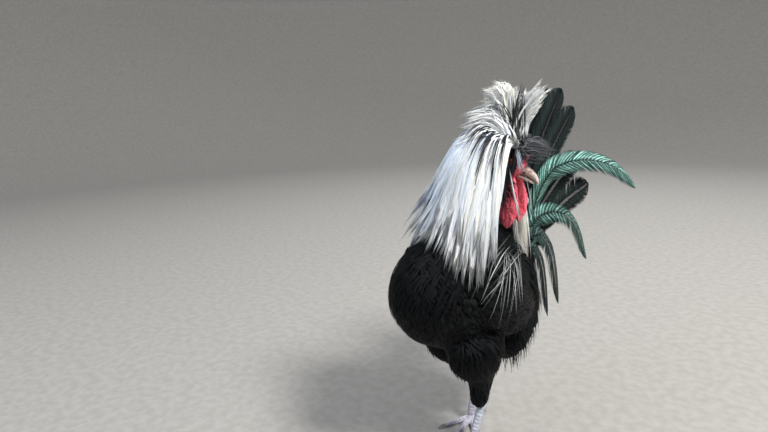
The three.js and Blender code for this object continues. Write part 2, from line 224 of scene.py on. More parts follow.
class Shader:
    """A material's node tree and the one way of adding nodes to it."""

    def __init__(self, name: str) -> None:
        """Makes a material with a Principled shader.

        Args:
            name: Its name.
        """
        self.material = bpy.data.materials.new(name)
        self.material.use_nodes = True
        self.tree = self.material.node_tree
        self.surface = self.tree.nodes["Principled BSDF"]

    def feed(self, socket: bpy.types.NodeSocket, value: object) -> None:
        """Links a Sock to a socket, or sets the socket's own value.

        Args:
            socket: The node's input.
            value: The Sock or the value.
        """
        if isinstance(value, Sock):
            self.tree.links.new(value.socket, socket)
        else:
            socket.default_value = value

    def node(self, kind: str, settings: dict[str, object], output: str | int, **values: object) -> Sock:
        """Adds a node.

        Args:
            kind: The node's type.
            settings: Properties that are set first.
            output: Name or number of the output that is wanted.
            **values: Values or links of its sockets, with an underscore for a space in a name, or
                before a socket's number.

        Returns:
            The output socket.
        """
        made = self.tree.nodes.new(kind)
        for key, value in settings.items():
            setattr(made, key, value)
        for key, value in values.items():
            self.feed(made.inputs[int(key[1:]) if key[0] == "_" else key.replace("_", " ")], value)
        return Sock(self.tree, made.outputs[output])

    def attribute(self, name: str, output: str = "Color") -> Sock:
        """Reads a mesh attribute."""
        return self.node("ShaderNodeAttribute", {"attribute_name": name}, output)

    def parts(self, vector: Sock) -> tuple[Sock, Sock, Sock]:
        """Splits a vector into its three numbers."""
        first = self.node("ShaderNodeSeparateXYZ", {}, 0, Vector=vector)
        return tuple(Sock(self.tree, output) for output in first.socket.node.outputs)

    def place(self) -> Sock:
        """Reads Object coordinates."""
        return self.node("ShaderNodeTexCoord", {}, "Object")

    def mottle(self, scale: float, detail: float = 3.0, vector: Sock | None = None) -> Sock:
        """Adds a noise of about 1 / scale metres."""
        at = vector or self.place()
        return self.node("ShaderNodeTexNoise", {}, "Fac", Vector=at, Scale=scale, Detail=detail)

    def colour(self, factor: Sock | float, a: object, b: object, blend: str = "MIX") -> Sock:
        """Mixes two colours; a Mix node's colours go in at sockets 6 and 7 and come out at 2."""
        settings = {"data_type": "RGBA", "blend_type": blend}
        return self.node("ShaderNodeMix", settings, 2, _0=factor, _6=a, _7=b)

    def bump(self, height: Sock, distance: float, strength: float = 1.0) -> None:
        """Feeds a height to the shader's normal."""
        out = self.node("ShaderNodeBump", {}, 0, Height=height, Distance=distance, Strength=strength)
        self.tree.links.new(out.socket, self.surface.inputs["Normal"])

    def set(self, **values: object) -> None:
        """Sets or links the Principled shader's sockets.

        Args:
            **values: Values or links, with an underscore for a space in a socket's name.
        """
        for key, value in values.items():
            self.feed(self.surface.inputs[key.replace("_", " ")], value)


@dataclass(frozen=True)
class PlumeFinish:
    """The finish of a vane: its tint with painted shade towards the quill, where other feathers cover it,
    ribbed by its barbs.
    """

    name: str
    roughness: float
    barbs: float = 34.0
    slant: float = 5.0
    relief: float = 0.00012
    shade: float = 0.45
    specular: float = 0.5
    coat: float = 0.0
    metallic: float = 0.0
    sheen: float = 0.0
    ribbing: float = 0.07

    def make(self) -> bpy.types.Material:
        """Makes the material.

        Returns:
            The material.
        """
        s = Shader(self.name)
        tint = s.attribute("tint")
        across, along, chance = s.parts(s.attribute("vane", "Vector"))
        # painted shade: the vane darkens towards its quill, the part that lies under other feathers
        quill = along.step(0.0, 0.35)
        ribs = ((along * self.barbs - across.size() * self.slant + chance * 7.0) * TURN).wave()
        fleck = s.mottle(900.0, 2.0)
        depth = quill * self.shade + (1.0 - self.shade) + ribs * self.ribbing + (fleck - 0.5) * 0.16
        grey = s.node("ShaderNodeCombineXYZ", {}, 0, X=depth, Y=depth, Z=depth)
        base = s.colour(1.0, tint, grey, "MULTIPLY")
        s.set(Base_Color=base, Roughness=self.roughness + (fleck - 0.5) * 0.2, Metallic=self.metallic)
        s.set(Coat_Weight=self.coat, Specular_IOR_Level=self.specular, Sheen_Weight=self.sheen)
        s.set(Sheen_Roughness=0.4)
        s.bump(ribs * 0.5 + fleck, self.relief)
        return s.material


@dataclass(frozen=True)
class FleshFinish:
    """Bare skin: two tones in patches, fine pebbles and a wet or dry gloss."""

    name: str
    light: Colour
    dark: Colour
    roughness: float
    pebble: float = 900.0
    relief: float = 0.0003
    coat: float = 0.0

    def make(self) -> bpy.types.Material:
        """Makes the material.

        Returns:
            The material.
        """
        s = Shader(self.name)
        patches = s.mottle(140.0, 4.0)
        grain = s.mottle(self.pebble, 4.0)
        tint = s.attribute("tint")
        base = s.colour(patches.step(0.35, 0.65), self.light, self.dark)
        base = s.colour(1.0, base, tint, "MULTIPLY")
        base = s.colour(grain.step(0.3, 0.75) * 0.25, base, self.dark)
        s.set(Base_Color=base, Roughness=self.roughness + (grain - 0.5) * 0.2, Coat_Weight=self.coat)
        s.bump(grain, self.relief)
        return s.material


@dataclass(frozen=True)
class HornFinish:
    """Horn: growth lines along the piece between two tones, with a soft gloss."""

    name: str
    light: Colour
    dark: Colour
    roughness: float = 0.32

    def make(self) -> bpy.types.Material:
        """Makes the material.

        Returns:
            The material.
        """
        s = Shader(self.name)
        streak = s.mottle(420.0, 5.0)
        tint = s.attribute("tint")
        base = s.colour(streak.step(0.35, 0.7), self.light, self.dark)
        base = s.colour(1.0, base, tint, "MULTIPLY")
        s.set(Base_Color=base, Roughness=self.roughness + (streak - 0.5) * 0.25, Coat_Weight=0.2)
        s.bump(streak, 0.0002, 0.6)
        return s.material


@dataclass(frozen=True)
class EyeFinish:
    """A wet eye whose rings are painted by the vane attribute's across value."""

    name: str
    iris: tuple[Colour, Colour] = ((0.32, 0.075, 0.012, 1), (0.62, 0.22, 0.04, 1))
    rim: Colour = (0.05, 0.015, 0.01, 1)
    pupil: Colour = (0.002, 0.002, 0.003, 1)

    def make(self) -> bpy.types.Material:
        """Makes the material.

        Returns:
            The material.
        """
        s = Shader(self.name)
        ring, _, _ = s.parts(s.attribute("vane", "Vector"))
        fibres = s.mottle(1500.0, 3.0)
        iris = s.colour(fibres.step(0.3, 0.7), *self.iris)
        rim = s.colour(ring.step(0.62, 0.8), iris, self.rim)
        base = s.colour(ring.step(0.3, 0.36), self.pupil, rim)
        s.set(Base_Color=base, Roughness=0.06, Coat_Weight=1.0, Coat_Roughness=0.02)
        return s.material


@dataclass(frozen=True)
class FloorFinish:
    """Plain pale studio floor."""

    name: str = "pale_floor"
    tones: tuple[Colour, Colour] = ((0.25, 0.24, 0.225, 1), (0.29, 0.28, 0.265, 1))

    def make(self) -> bpy.types.Material:
        """Makes the material.

        Returns:
            The material.
        """
        s = Shader(self.name)
        grain = s.mottle(60.0, 4.0)
        s.set(Base_Color=s.colour(grain.step(0.3, 0.7), *self.tones), Roughness=0.85)
        return s.material


def new_object(name: str, data: bpy.types.ID) -> bpy.types.Object:
    """Links a new object at the origin.

    Args:
        name: Its name.
        data: Its mesh, light or camera.

    Returns:
        The object.
    """
    made = bpy.data.objects.new(name, data)
    bpy.context.scene.collection.objects.link(made)
    return made


def shaped(made: bmesh.types.BMesh, name: str) -> bpy.types.Mesh:
    """Turns a finished bmesh into a mesh and frees it.

    Args:
        made: The bmesh.
        name: The mesh's name.

    Returns:
        The mesh.
    """
    mesh = bpy.data.meshes.new(name)
    made.to_mesh(mesh)
    made.free()
    return mesh


def spun(made: bmesh.types.BMesh, edges: list[bmesh.types.BMEdge], steps: int) -> None:
    """Spins edges once round the upright axis."""
    centre, axis = (0, 0, 0), (0, 0, 1)
    bmesh.ops.spin(made, geom=edges, axis=axis, cent=centre, angle=TURN, steps=steps, use_merge=True)


def move(mesh: bpy.types.Mesh, points: Array) -> None:
    """Writes a mesh's points."""
    mesh.vertices.foreach_set("co", points.astype(np.float32).ravel())


def fractal(points: Array, octaves: int = 3) -> Array:
    """Returns a fractal noise at each point."""
    return np.array([noise.fractal(Vector(p), 1.0, 2.0, octaves) for p in points])


def declare(
    piece: bpy.types.Object, slot: Slot, material: bpy.types.Material, nodes: Sequence[str]
) -> None:
    """Gives a finished piece its material and body, hides the solids that it replaces and logs its faces.

    Args:
        piece: The finished object.
        slot: The record's material slot; not used.
        material: The finish.
        nodes: The solids that it replaces.
    """
    piece.data.materials.clear()
    piece.data.materials.append(material)
    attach(piece, "root")
    if nodes:
        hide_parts(*nodes)
    LOG.info("%s: %d faces", piece.name, len(piece.data.polygons))


def paint(mesh: bpy.types.Mesh, tint: Array, vane: Array | None = None) -> None:
    """Writes the tint and vane attributes.

    Args:
        mesh: The mesh.
        tint: Colours, one for each vertex or one for all.
        vane: Across, along and chance for each vertex, or none.
    """
    count = len(mesh.vertices)
    colours = np.ones((count, 4), np.float32)
    colours[:, :3] = tint
    layer = mesh.attributes.new("tint", "FLOAT_COLOR", "POINT")
    layer.data.foreach_set("color", colours.ravel())
    values = np.zeros((count, 3), np.float32) if vane is None else vane.astype(np.float32)
    layer = mesh.attributes.new("vane", "FLOAT_VECTOR", "POINT")
    layer.data.foreach_set("vector", values.ravel())


@dataclass
class Bird:
    """The bird's own frame and the driving sizes that the pieces share, in millimetres."""

    head_at: Point = (41, 37, 413)
    head_turn: float = 112.0
    head_nod: float = 23.0
    crest_at: Point = (46, 40, 448)
    breast_end: float = -142.0
    shift: Array = field(default_factory=lambda: np.zeros(3))

    def __post_init__(self) -> None:
        """Finds where the bird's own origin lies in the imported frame."""
        low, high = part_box("trunk")
        self.shift = np.array([(low[0] + high[0]) / 2, low[1] - self.breast_end * MM, 0.0])

    def out(self, points: Array) -> Array:
        """Turns points of the bird's frame in millimetres into packed metres."""
        return np.asarray(points, float) * MM + self.shift

    def back(self, points: Array) -> Array:
        """Turns packed metres into the bird's frame in millimetres."""
        return (np.asarray(points, float) - self.shift) / MM

    def turned(self, at: Sequence[float], nod: float) -> Callable[[Array], Array]:
        """Turns a frame that faces along the beak into the bird's frame.

        Args:
            at: The frame's origin.
            nod: Degrees that the beak points down.

        Returns:
            A function on points.
        """
        aside = Matrix.Rotation(math.radians(self.head_turn - 90), 3, "Z")
        turn = np.array(aside @ Matrix.Rotation(math.radians(nod), 3, "Y"))
        return lambda p: np.asarray(p, float) @ turn.T + np.asarray(at, float)

    def head(self) -> Callable[[Array], Array]:
        """The head's frame: +X along the beak, +Y to its left, +Z over the crown."""
        return self.turned(self.head_at, self.head_nod)

    def crest(self) -> Callable[[Array], Array]:
        """The crest's frame: +X along the beak, level, +Z up."""
        return self.turned(self.crest_at, 0.0)

    def in_head(self, metres: Array) -> Array:
        """Turns packed metres into the head's frame in millimetres."""
        origin, *axes = self.head()(np.vstack([np.zeros(3), np.eye(3)]))
        return (self.back(metres) - origin) @ (np.array(axes) - origin).T


class Vanes:
    """Feathers, strands and scales, each a thin closed roof along a line, joined into one mesh."""

    def __init__(self, bird: Bird) -> None:
        """Starts an empty batch.

        Args:
            bird: The bird.
        """
        self.bird = bird
        self.parts: list[tuple[Array, Array, Array, Array, Array]] = []
        self.count = 0

    @staticmethod
    def template(k: int) -> Array:
        """Makes the triangles of one vane: a point at each end and rings of four between them.

        Args:
            k: Stations along it.

        Returns:
            Triangles, (n, 3).
        """
        ring = lambda i, j: 1 + (i - 1) * 4 + j % 4
        last = 1 + (k - 2) * 4
        faces = []
        for j in range(4):
            faces.append((0, ring(1, j + 1), ring(1, j)))
            faces.append((ring(k - 2, j), ring(k - 2, j + 1), last))
            for i in range(1, k - 2):
                faces.append((ring(i, j), ring(i, j + 1), ring(i + 1, j + 1)))
                faces.append((ring(i, j), ring(i + 1, j + 1), ring(i + 1, j)))
        return np.array(faces)

    def add(
        self,
        line: Array,
        outward: Array,
        half: Array,
        tint: Array,
        patch: Array,
        camber: float = 0.25,
        thick: float = 0.35,
        spin: Array | float = 0.0,
        thinnest: float = 0.04,
    ) -> None:
        """Adds vanes.

        Args:
            line: Centre lines, (n, k, 3), in the bird's frame.
            outward: The way the vanes face, (n, k, 3).
            half: Half widths, (n, k).
            tint: Colours, (n, 3) or (n, k, 3).
            patch: Places of the roots on the skin's unwrap, (n, 2), from 0 to 1.
            camber: How far the edges droop, as a share of the half width.
            thick: Thickness at the quill.
            spin: Turn of the vane about its line, in radians.
            thinnest: Least half width.
        """
        n, k, _ = line.shape
        along = unit(np.gradient(line, axis=1))
        side = unit(np.cross(along, outward))
        up = np.cross(side, along)
        if np.any(spin):
            turn = np.broadcast_to(np.asarray(spin, float), (n,))[:, None, None]
            cos, sin = np.cos(turn), np.sin(turn)
            side, up = side * cos + up * sin, up * cos - side * sin
        w = np.maximum(half, thinnest)[..., None]
        droop = camber * w
        depth = np.minimum(thick, w * 0.6)
        left = line - side * w - up * droop
        right = line + side * w - up * droop
        under = line - up * depth
        rings = np.stack([left, line, right, under], axis=2)[:, 1:-1].reshape(n, -1, 3)
        points = np.concatenate([line[:, :1], rings, line[:, -1:]], axis=1)
        t = np.linspace(0, 1, k)
        corners = np.stack([np.array([-1, 0, 1, 0])[None].repeat(k - 2, 0), t[1:-1, None].repeat(4, 1)], -1)
        flat = np.vstack([[0, 0], corners.reshape(-1, 2), [0, 1]])
        chance = np.random.default_rng(self.count + n).random(n)[:, None, None].repeat(len(flat), 1)
        vane = np.concatenate([np.broadcast_to(flat, (n, *flat.shape)), chance], -1)
        if tint.ndim == 2:
            tint = tint[:, None].repeat(k, 1)
        ringed = tint[:, 1:-1, None].repeat(4, 2).reshape(n, -1, 3)
        colours = np.concatenate([tint[:, :1], ringed, tint[:, -1:]], axis=1)
        spot = patch[:, None] + (flat * [0.5, 1.0] - [0.0, 0.5])[None] * PATCH
        faces = self.template(k)[None] + (np.arange(n) * points.shape[1])[:, None, None] + self.count
        rows = (self.bird.out(points.reshape(-1, 3)), faces, colours, vane, spot)
        self.parts.append(tuple(row.reshape(-1, row.shape[-1]) for row in rows))
        self.count += n * points.shape[1]

    def build(self, name: str) -> bpy.types.Object:
        """Joins the batch into one object with its attributes and its unwrap.

        Args:
            name: The object's name.

        Returns:
            The object.
        """
        points, faces, colours, vane, spot = (np.concatenate(p) for p in zip(*self.parts))
        mesh = bpy.data.meshes.new(name)
        mesh.vertices.add(len(points))
        mesh.vertices.foreach_set("co", points.astype(np.float32).ravel())
        mesh.loops.add(faces.size)
        mesh.loops.foreach_set("vertex_index", faces.astype(np.int32).ravel())
        mesh.polygons.add(len(faces))
        mesh.polygons.foreach_set("loop_start", np.arange(0, faces.size, 3, dtype=np.int32))
        mesh.polygons.foreach_set("use_smooth", np.ones(len(faces), bool))
        mesh.update(calc_edges=True)
        paint(mesh, colours, vane)
        uv = mesh.uv_layers.new(name="OFBake")
        uv.data.foreach_set("uv", np.clip(spot[faces.ravel()], 0, 1).astype(np.float32).ravel())
        ends = np.empty(len(mesh.edges) * 2, np.int32)
        mesh.edges.foreach_get("vertices", ends)
        edge = vane[:, 0][ends.reshape(-1, 2)]
        sharp = mesh.attributes.new("sharp_edge", "BOOLEAN", "EDGE")
        sharp.data.foreach_set("value", (np.abs(edge).min(1) > 0.9) & (edge[:, 0] == edge[:, 1]))
        return new_object(name, mesh)


def merged(name: str, nodes: Sequence[str], grow: float = SEAM) -> bpy.types.Object:
    """Joins copies of solids into one mesh, each with its corners merged.

    Args:
        name: The new object's name.
        nodes: The solids.
        grow: How far each one's skin moves out, in metres.

    Returns:
        The joined object.
    """
    made = bmesh.new()
    for node in nodes:
        part = bmesh.new()
        part.from_mesh(FRAME["nodes"][node].data)
        bmesh.ops.remove_doubles(part, verts=part.verts, dist=1e-5)
        part.normal_update()
        for v in part.verts:
            v.co += v.normal * grow
        made.from_mesh(shaped(part, "part"))
    return new_object(name, shaped(made, name))


def remeshed(piece: bpy.types.Object, voxel: float, relax: int) -> bpy.types.Mesh:
    """Turns a piece into one even closed skin and removes the piece.

    Args:
        piece: The object.
        voxel: The size of the new faces.
        relax: Rounds of smoothing.

    Returns:
        The new mesh.
    """
    modifier = piece.modifiers.new("even", "REMESH")
    modifier.mode = "VOXEL"
    modifier.voxel_size = voxel
    modifier.use_smooth_shade = True
    soft = piece.modifiers.new("soft", "SMOOTH")
    soft.factor = 0.5
    soft.iterations = relax
    depsgraph = bpy.context.evaluated_depsgraph_get()
    mesh = bpy.data.meshes.new_from_object(piece.evaluated_get(depsgraph))
    bpy.data.objects.remove(piece)
    return mesh


def coordinates(mesh: bpy.types.Mesh) -> Array:
    """Reads a mesh's points.

    Args:
        mesh: The mesh.

    Returns:
        The points, (n, 3).
    """
    co = np.empty(len(mesh.vertices) * 3, np.float32)
    mesh.vertices.foreach_get("co", co)
    return co.reshape(-1, 3).astype(float)


def normals(mesh: bpy.types.Mesh) -> Array:
    """Reads a mesh's vertex normals.

    Args:
        mesh: The mesh.

    Returns:
        The normals, (n, 3).
    """
    no = np.empty(len(mesh.vertices) * 3, np.float32)
    mesh.vertex_normals.foreach_get("vector", no)
    return no.reshape(-1, 3).astype(float)


class Guide:
    """A smooth closed surface in the bird's frame that feathers are laid on."""

    def __init__(self, bird: Bird, nodes: Sequence[str], voxel: float = 0.004, relax: int = 12) -> None:
        """Makes the surface.

        Args:
            bird: The bird.
            nodes: The solids that it wraps.
            voxel: Size of its faces in metres.
            relax: Rounds of smoothing.
        """
        mesh = remeshed(merged("guide", nodes), voxel, relax)
        self.points = bird.back(coordinates(mesh))
        mesh.calc_loop_triangles()
        self.faces = np.array([t.vertices[:] for t in mesh.loop_triangles])
        self.tree = BVHTree.FromPolygons(self.points.tolist(), self.faces.tolist())
        self.normals = normals(mesh)
        bpy.data.meshes.remove(mesh)

    def nearest(self, points: Array) -> tuple[Array, Array]:
        """Finds the closest places on the surface.

        Args:
            points: Points, (n, 3).

        Returns:
            The places and the smooth outward normals there.
        """
        spots = np.empty_like(points)
        ways = np.empty_like(points)
        for i, p in enumerate(points):
            spot, _, index, _ = self.tree.find_nearest(p)
            spots[i] = spot
            a, b, c = self.faces[index]
            ways[i] = self.normals[a] + self.normals[b] + self.normals[c]
        return spots, unit(ways)

    def lifted(self, points: Array, toward: Sequence[float] | None, clear: float) -> Array:
        """Moves points that lie under the surface out of it.

        Args:
            points: Points, (n, k, 3).
            toward: The way out, or none for the nearest one.
            clear: Height over the surface.

        Returns:
            The moved points.
        """
        flat = points.reshape(-1, 3)
        spots, ways = self.nearest(flat)
        height = np.sum((flat - spots) * ways, axis=1)
        moved = flat.copy()
        for i in np.flatnonzero(height < clear):
            moved[i] = spots[i] + ways[i] * clear
            if toward is not None and height[i] < 0:
                hit = self.tree.ray_cast(flat[i], toward)[0]
                if hit is not None:
                    moved[i] = np.array(hit) + np.array(toward) * clear
        moved = moved.reshape(points.shape)
        moved[:, 1:-1] = (moved[:, :-2] + moved[:, 1:-1] * 2 + moved[:, 2:]) / 4
        return moved

    def scatter(self, spacing: Callable[[Array], Array], tries: int, seed: int) -> tuple[Array, Array]:
        """Spreads points over the surface with a least distance between them.

        Args:
            spacing: Gives the least distance at each point, or a negative number to leave it out.
            tries: How many places are tried.
            seed: Seed of the random draw.

        Returns:
            The points and their normals.
        """
        rng = np.random.default_rng(seed)
        a, b, c = (self.points[self.faces[:, i]] for i in range(3))
        area = np.linalg.norm(np.cross(b - a, c - a), axis=1)
        pick = rng.choice(len(area), tries, p=area / area.sum())
        u, v = rng.random((2, tries, 1))
        flip = (u + v) > 1
        u, v = np.where(flip, 1 - u, u), np.where(flip, 1 - v, v)
        points = a[pick] + (b[pick] - a[pick]) * u + (c[pick] - a[pick]) * v
        gaps = spacing(points)
        cell = float(gaps.max())
        grid: dict[tuple[int, int, int], list[int]] = {}
        kept: list[int] = []
        keys = np.floor(points / cell).astype(int)
        around_cell = list(product((-1, 0, 1), repeat=3))
        for i in np.flatnonzero(gaps > 0):
            x, y, z = keys[i]
            near = [j for dx, dy, dz in around_cell for j in grid.get((x + dx, y + dy, z + dz), ())]
            if near and np.min(np.linalg.norm(points[near] - points[i], axis=1)) < gaps[i]:
                continue
            grid.setdefault((x, y, z), []).append(i)
            kept.append(i)
        ways = sum(self.normals[self.faces[pick[kept], i]] for i in range(3))
        return points[kept], unit(ways)

    def combed(
        self,
        roots: Array,
        ways: Array,
        flow: Flow,
        length: Array,
        stations: int,
        sink: float,
        rise: float,
        free: float = 1.1,
        weight: float = 0.0,
    ) -> tuple[Array, Array]:
        """Lays centre lines along the surface, from under it at the quill to over it at the tip.

        Args:
            roots: Roots on the surface.
            ways: Normals at the roots.
            flow: Gives the lie of the coat from points and normals.
            length: Length of each feather.
            stations: Points on each line.
            sink: Depth of the quill under the surface.
            rise: Height of the tip over it.
            free: Share of the length after which a feather leaves the surface.
            weight: How strongly its free part falls.

        Returns:
            The lines and the way they face, both (n, stations, 3).
        """
        p, n = roots.copy(), ways.copy()
        lines, faces = [], []
        heading = unit(flow(p, n))
        for i in range(stations):
            t = i / (stations - 1)
            lines.append(p + n * mixed(-sink, rise, smooth(0.0, 0.8, np.array(t))))
            faces.append(n.copy())
            step = (length / (stations - 1))[:, None]
            if t < free:
                wish = flow(p, n)
                wish = unit(wish - n * np.sum(wish * n, axis=1, keepdims=True))
                heading = unit(heading * 0.35 + wish)
                p, n = self.nearest(p + heading * step)
            else:
                heading = unit(heading + np.array([0, 0, -weight]))
                p = p + heading * step
                n = unit(n - heading * np.sum(n * heading, axis=1, keepdims=True))
        return np.stack(lines, 1), np.stack(faces, 1)


def outline(stations: int, base: float, fullest: float, tip: float) -> Array:
    """Returns the share of the half width at each station of a vane.

    Args:
        stations: Points on the line.
        base: Share at the quill.
        fullest: Where along it the vane is widest.
        tip: Power of the tip; below 1 it is round, above it is pointed.

    Returns:
        Shares from 0 to 1.
    """
    t = np.linspace(0, 1, stations)
    rise = mixed(base, 1.0, smooth(0, fullest, t))
    fall = 1 - np.clip((t - fullest) / (1 - fullest), 0, 1) ** (1 / tip)
    return rise * np.maximum(fall, 0.0)


def around(places: Array, spokes: Array, low: float, high: float) -> Array:
    """Unwraps points round an upright or level axis.

    Args:
        places: Places along the axis.
        spokes: Steps from the axis, (n, 2), that the angle is measured of.
        low: Place along the axis that is at the map's lower edge.
        high: Place that is at its upper edge.

    Returns:
        Places on the map, (n, 2).
    """
    angle = np.arctan2(spokes[:, 0], spokes[:, 1]) / TURN + 0.5
    v = np.clip((places - low) / (high - low), 0, 1)
    return np.stack([angle, v], 1) * 0.98 + 0.01


def along_trunk(points: Array, low: float, high: float) -> Array:
    """Unwraps points round the trunk's level axis, between two places along it."""
    return around(points[:, 1], np.stack([points[:, 0], points[:, 2] - 250], 1), low, high)


def leaning(side: Array, back: float, up: float) -> Array:
    """Returns directions that share their lean back and up, (n, 3)."""
    return np.stack([side, np.full(len(side), back), np.full(len(side), up)], 1)


def staggered(lines: Array, faces: Array, height: float, rng: np.random.Generator) -> Array:
    """Lifts the free ends of lines by random heights.

    Args:
        lines: Centre lines, (n, k, 3).
        faces: The way they face.
        height: Greatest height.
        rng: Random draw.

    Returns:
        The lines, which overlap without lying in one sheet.
    """
    share = np.linspace(0, 1, lines.shape[1])[:, None]
    return lines + faces * rng.uniform(0, height, (len(lines), 1, 1)) * share


def trunk_flow(p: Array, n: Array) -> Array:
    """The lie of the trunk's feathers: down the breast, then back along the flanks and belly."""
    front = smooth(-20.0, -105.0, p[:, 1])[:, None]
    return mixed(np.array([0.0, 1.0, -0.22]), leaning(p[:, 0] * 0.004, 0.25, -1.0), front)


def neck_flow(p: Array, n: Array) -> Array:
    """The lie of the hackle: down the neck, spreading over the shoulders."""
    return np.array([-0.32, -0.5, -1.0]) + n * [0.25, 0.25, 0.0]


def wing_flow(p: Array, n: Array) -> Array:
    """The lie of the wing's feathers: back and a little down."""
    return leaning(-0.12 * np.sign(p[:, 0]), 1.0, -0.3)


def thigh_flow(p: Array, n: Array) -> Array:
    """The lie of the thigh's feathers: down to the hock."""
    return leaning(-0.12 * np.sign(p[:, 0]), 0.28, -1.0)


def vent_flow(p: Array, n: Array) -> Array:
    """The lie of the fluff: down and back."""
    return leaning(np.zeros(len(p)), 0.9, -0.7)


@dataclass
class Contour:
    """Sizes of one region of body feathers, in millimetres."""

    node: str
    flow: Flow
    spacing: float
    length: float
    half: float
    rise: float = 0.35
    sink: float = 5.0
    stations: int = 6
    ragged: float = 0.15


@dataclass
class Plumage:
    """The black feathers of the trunk, neck, wings and thighs."""

    bird: Bird
    guide: Guide
    seed: int = 7
    flesh: tuple[str, ...] = (
        "trunk", "neck", "vent_fluff", "thigh_left", "thigh_right", "wing_left", "wing_right"
    )

    def owners(self, points: Array) -> Array:
        """Finds the nearest solid of each point.

        Args:
            points: Points, (n, 3).

        Returns:
            Their numbers in flesh.
        """
        gaps = []
        for node in self.flesh:
            data = FRAME["nodes"][node].data
            mesh_points = self.bird.back(coordinates(data))
            faces = [p.vertices[:] for p in data.polygons]
            tree = BVHTree.FromPolygons(mesh_points.tolist(), faces)
            gaps.append([tree.find_nearest(p)[3] for p in points])
        return np.argmin(np.array(gaps), axis=0)

    def black(self, rng: np.random.Generator, count: int, green: float = 0.3) -> Array:
        """Returns black tints, some with a painted green sheen.

        Args:
            rng: Random draw.
            count: How many.
            green: Strength of the painted green sheen in some of them.

        Returns:
            Colours, (count, 3).
        """
        base = np.array([0.0046, 0.0050, 0.0060]) * rng.uniform(0.5, 1.6, (count, 1))
        # painted sheen: a random few feathers get a green tint that stands for the gloss of black plumage
        return base + rng.uniform(0, 1, (count, 1)) ** 3 * np.array([0.0, 0.008, 0.007]) * green

    def lay(self, regions: Sequence[Contour]) -> Vanes:
        """Covers regions with contour feathers.

        Args:
            regions: The regions.

        Returns:
            The batch.
        """
        rng = np.random.default_rng(self.seed)
        batch = Vanes(self.bird)
        finest = min(r.spacing for r in regions)
        points, ways = self.guide.scatter(lambda p: np.full(len(p), finest), 60000, self.seed)
        owner = self.owners(points)
        for region in regions:
            mine = np.flatnonzero(owner == self.flesh.index(region.node))
            keep = mine[rng.random(len(mine)) < (finest / region.spacing) ** 2]
            roots, facing = points[keep], ways[keep]
            n = len(roots)
            length = region.length * rng.uniform(0.8, 1.2, n)
            wander = rng.normal(0, 0.10, (n, 3))
            flow = lambda p, m, r=region, w=wander: r.flow(p, m) + w
            lines, faces = self.guide.combed(
                roots, facing, flow, length, region.stations, region.sink, region.rise
            )
            shape = outline(region.stations, 0.35, 0.55, 0.62)
            half = region.half * rng.uniform(0.75, 1.2, (n, 1)) * shape
            half = half * (1 + rng.normal(0, region.ragged, half.shape))
            lines = staggered(lines, faces, 0.3, rng)
            patch = along_trunk(roots, roots[:, 1].min() - 1, roots[:, 1].max() + 1)
            batch.add(lines, faces, half, self.black(rng, n), patch, camber=0.1, thinnest=0.05)
        return batch

    def hackle(self) -> Vanes:
        """Lays the long narrow feathers of the neck over the shoulders, with the pale ones on the left.

        Returns:
            The batch.
        """
        rng = np.random.default_rng(self.seed + 1)
        batch = Vanes(self.bird)
        upper = lambda p: np.where(p[:, 2] > 262, 5.2, -1.0)
        points, ways = self.guide.scatter(upper, 40000, self.seed + 2)
        owner = self.owners(points)
        shoulder = (owner == 0) & (points[:, 1] < -20) & (points[:, 2] > 285)
        neck = (owner == self.flesh.index("neck")) | shoulder
        roots, facing = points[neck], ways[neck]
        n = len(roots)
        high = smooth(280, 400, roots[:, 2])
        length = mixed(94.0, 58.0, high) * rng.uniform(0.6, 1.2, n)
        wander = rng.normal(0, 0.09, (n, 3))
        flow = lambda p, m: neck_flow(p, m) + wander
        lines, faces = self.guide.combed(
            roots, facing, flow, length, 10, 4.0, 1.6, free=0.95, weight=0.15
        )
        half = mixed(2.4, 1.8, high)[:, None] * outline(10, 0.4, 0.45, 1.3) * rng.uniform(0.7, 1.2, (n, 1))
        lines = staggered(lines, faces, 0.9, rng)
        patch = around(roots[:, 2], roots[:, :2] + [-10, 30], 255, 420)
        batch.add(lines, faces, half, self.black(rng, n, 0.15), patch, camber=0.2)
        self.streaks(batch)
        return batch

    def streaks(self, batch: Vanes) -> None:
        """Adds the thin grey-white hackles that come out from under the crest over the left shoulder.

        Args:
            batch: The hackle's batch.
        """
        rng = np.random.default_rng(self.seed + 5)
        root = np.array([77.0, -7.0, 299.0])
        row = [(60, -84, 244), (68, -72, 250), (71, -65, 240), (74, -50, 222), (76, -40, 207)]
        row += [(79, -28, 205), (80, -17, 206), (83, -3, 212), (84, 9, 236)]
        n = 26
        ends = root + (catmull(np.array(row, float), rng.random(n)) - root) * rng.uniform(0.7, 1.16, (n, 1))
        start = root + rng.normal(0, 1, (n, 3)) * [3.0, 11.0, 12.0]
        ends = ends + rng.normal(0, 3.0, (n, 3))
        middle = start + (ends - start) * [0.6, 0.6, 0.42] + rng.normal(0, 1.5, (n, 3))
        line = threads(np.stack([start, middle, ends], 1), 12)
        line = self.guide.lifted(line, None, 3.0)
        _, ways = self.guide.nearest(line.reshape(-1, 3))
        half = rng.uniform(0.4, 1.05, (n, 1)) * outline(12, 0.5, 0.45, 1.4)
        shade = rng.uniform(0.05, 0.75, (n, 1)) ** 1.6 * np.array([0.96, 1.0, 1.02])
        patch = around(start[:, 2], start[:, :2] + [-10, 30], 255, 420)
        batch.add(line, ways.reshape(line.shape), half, shade, patch, camber=0.3)

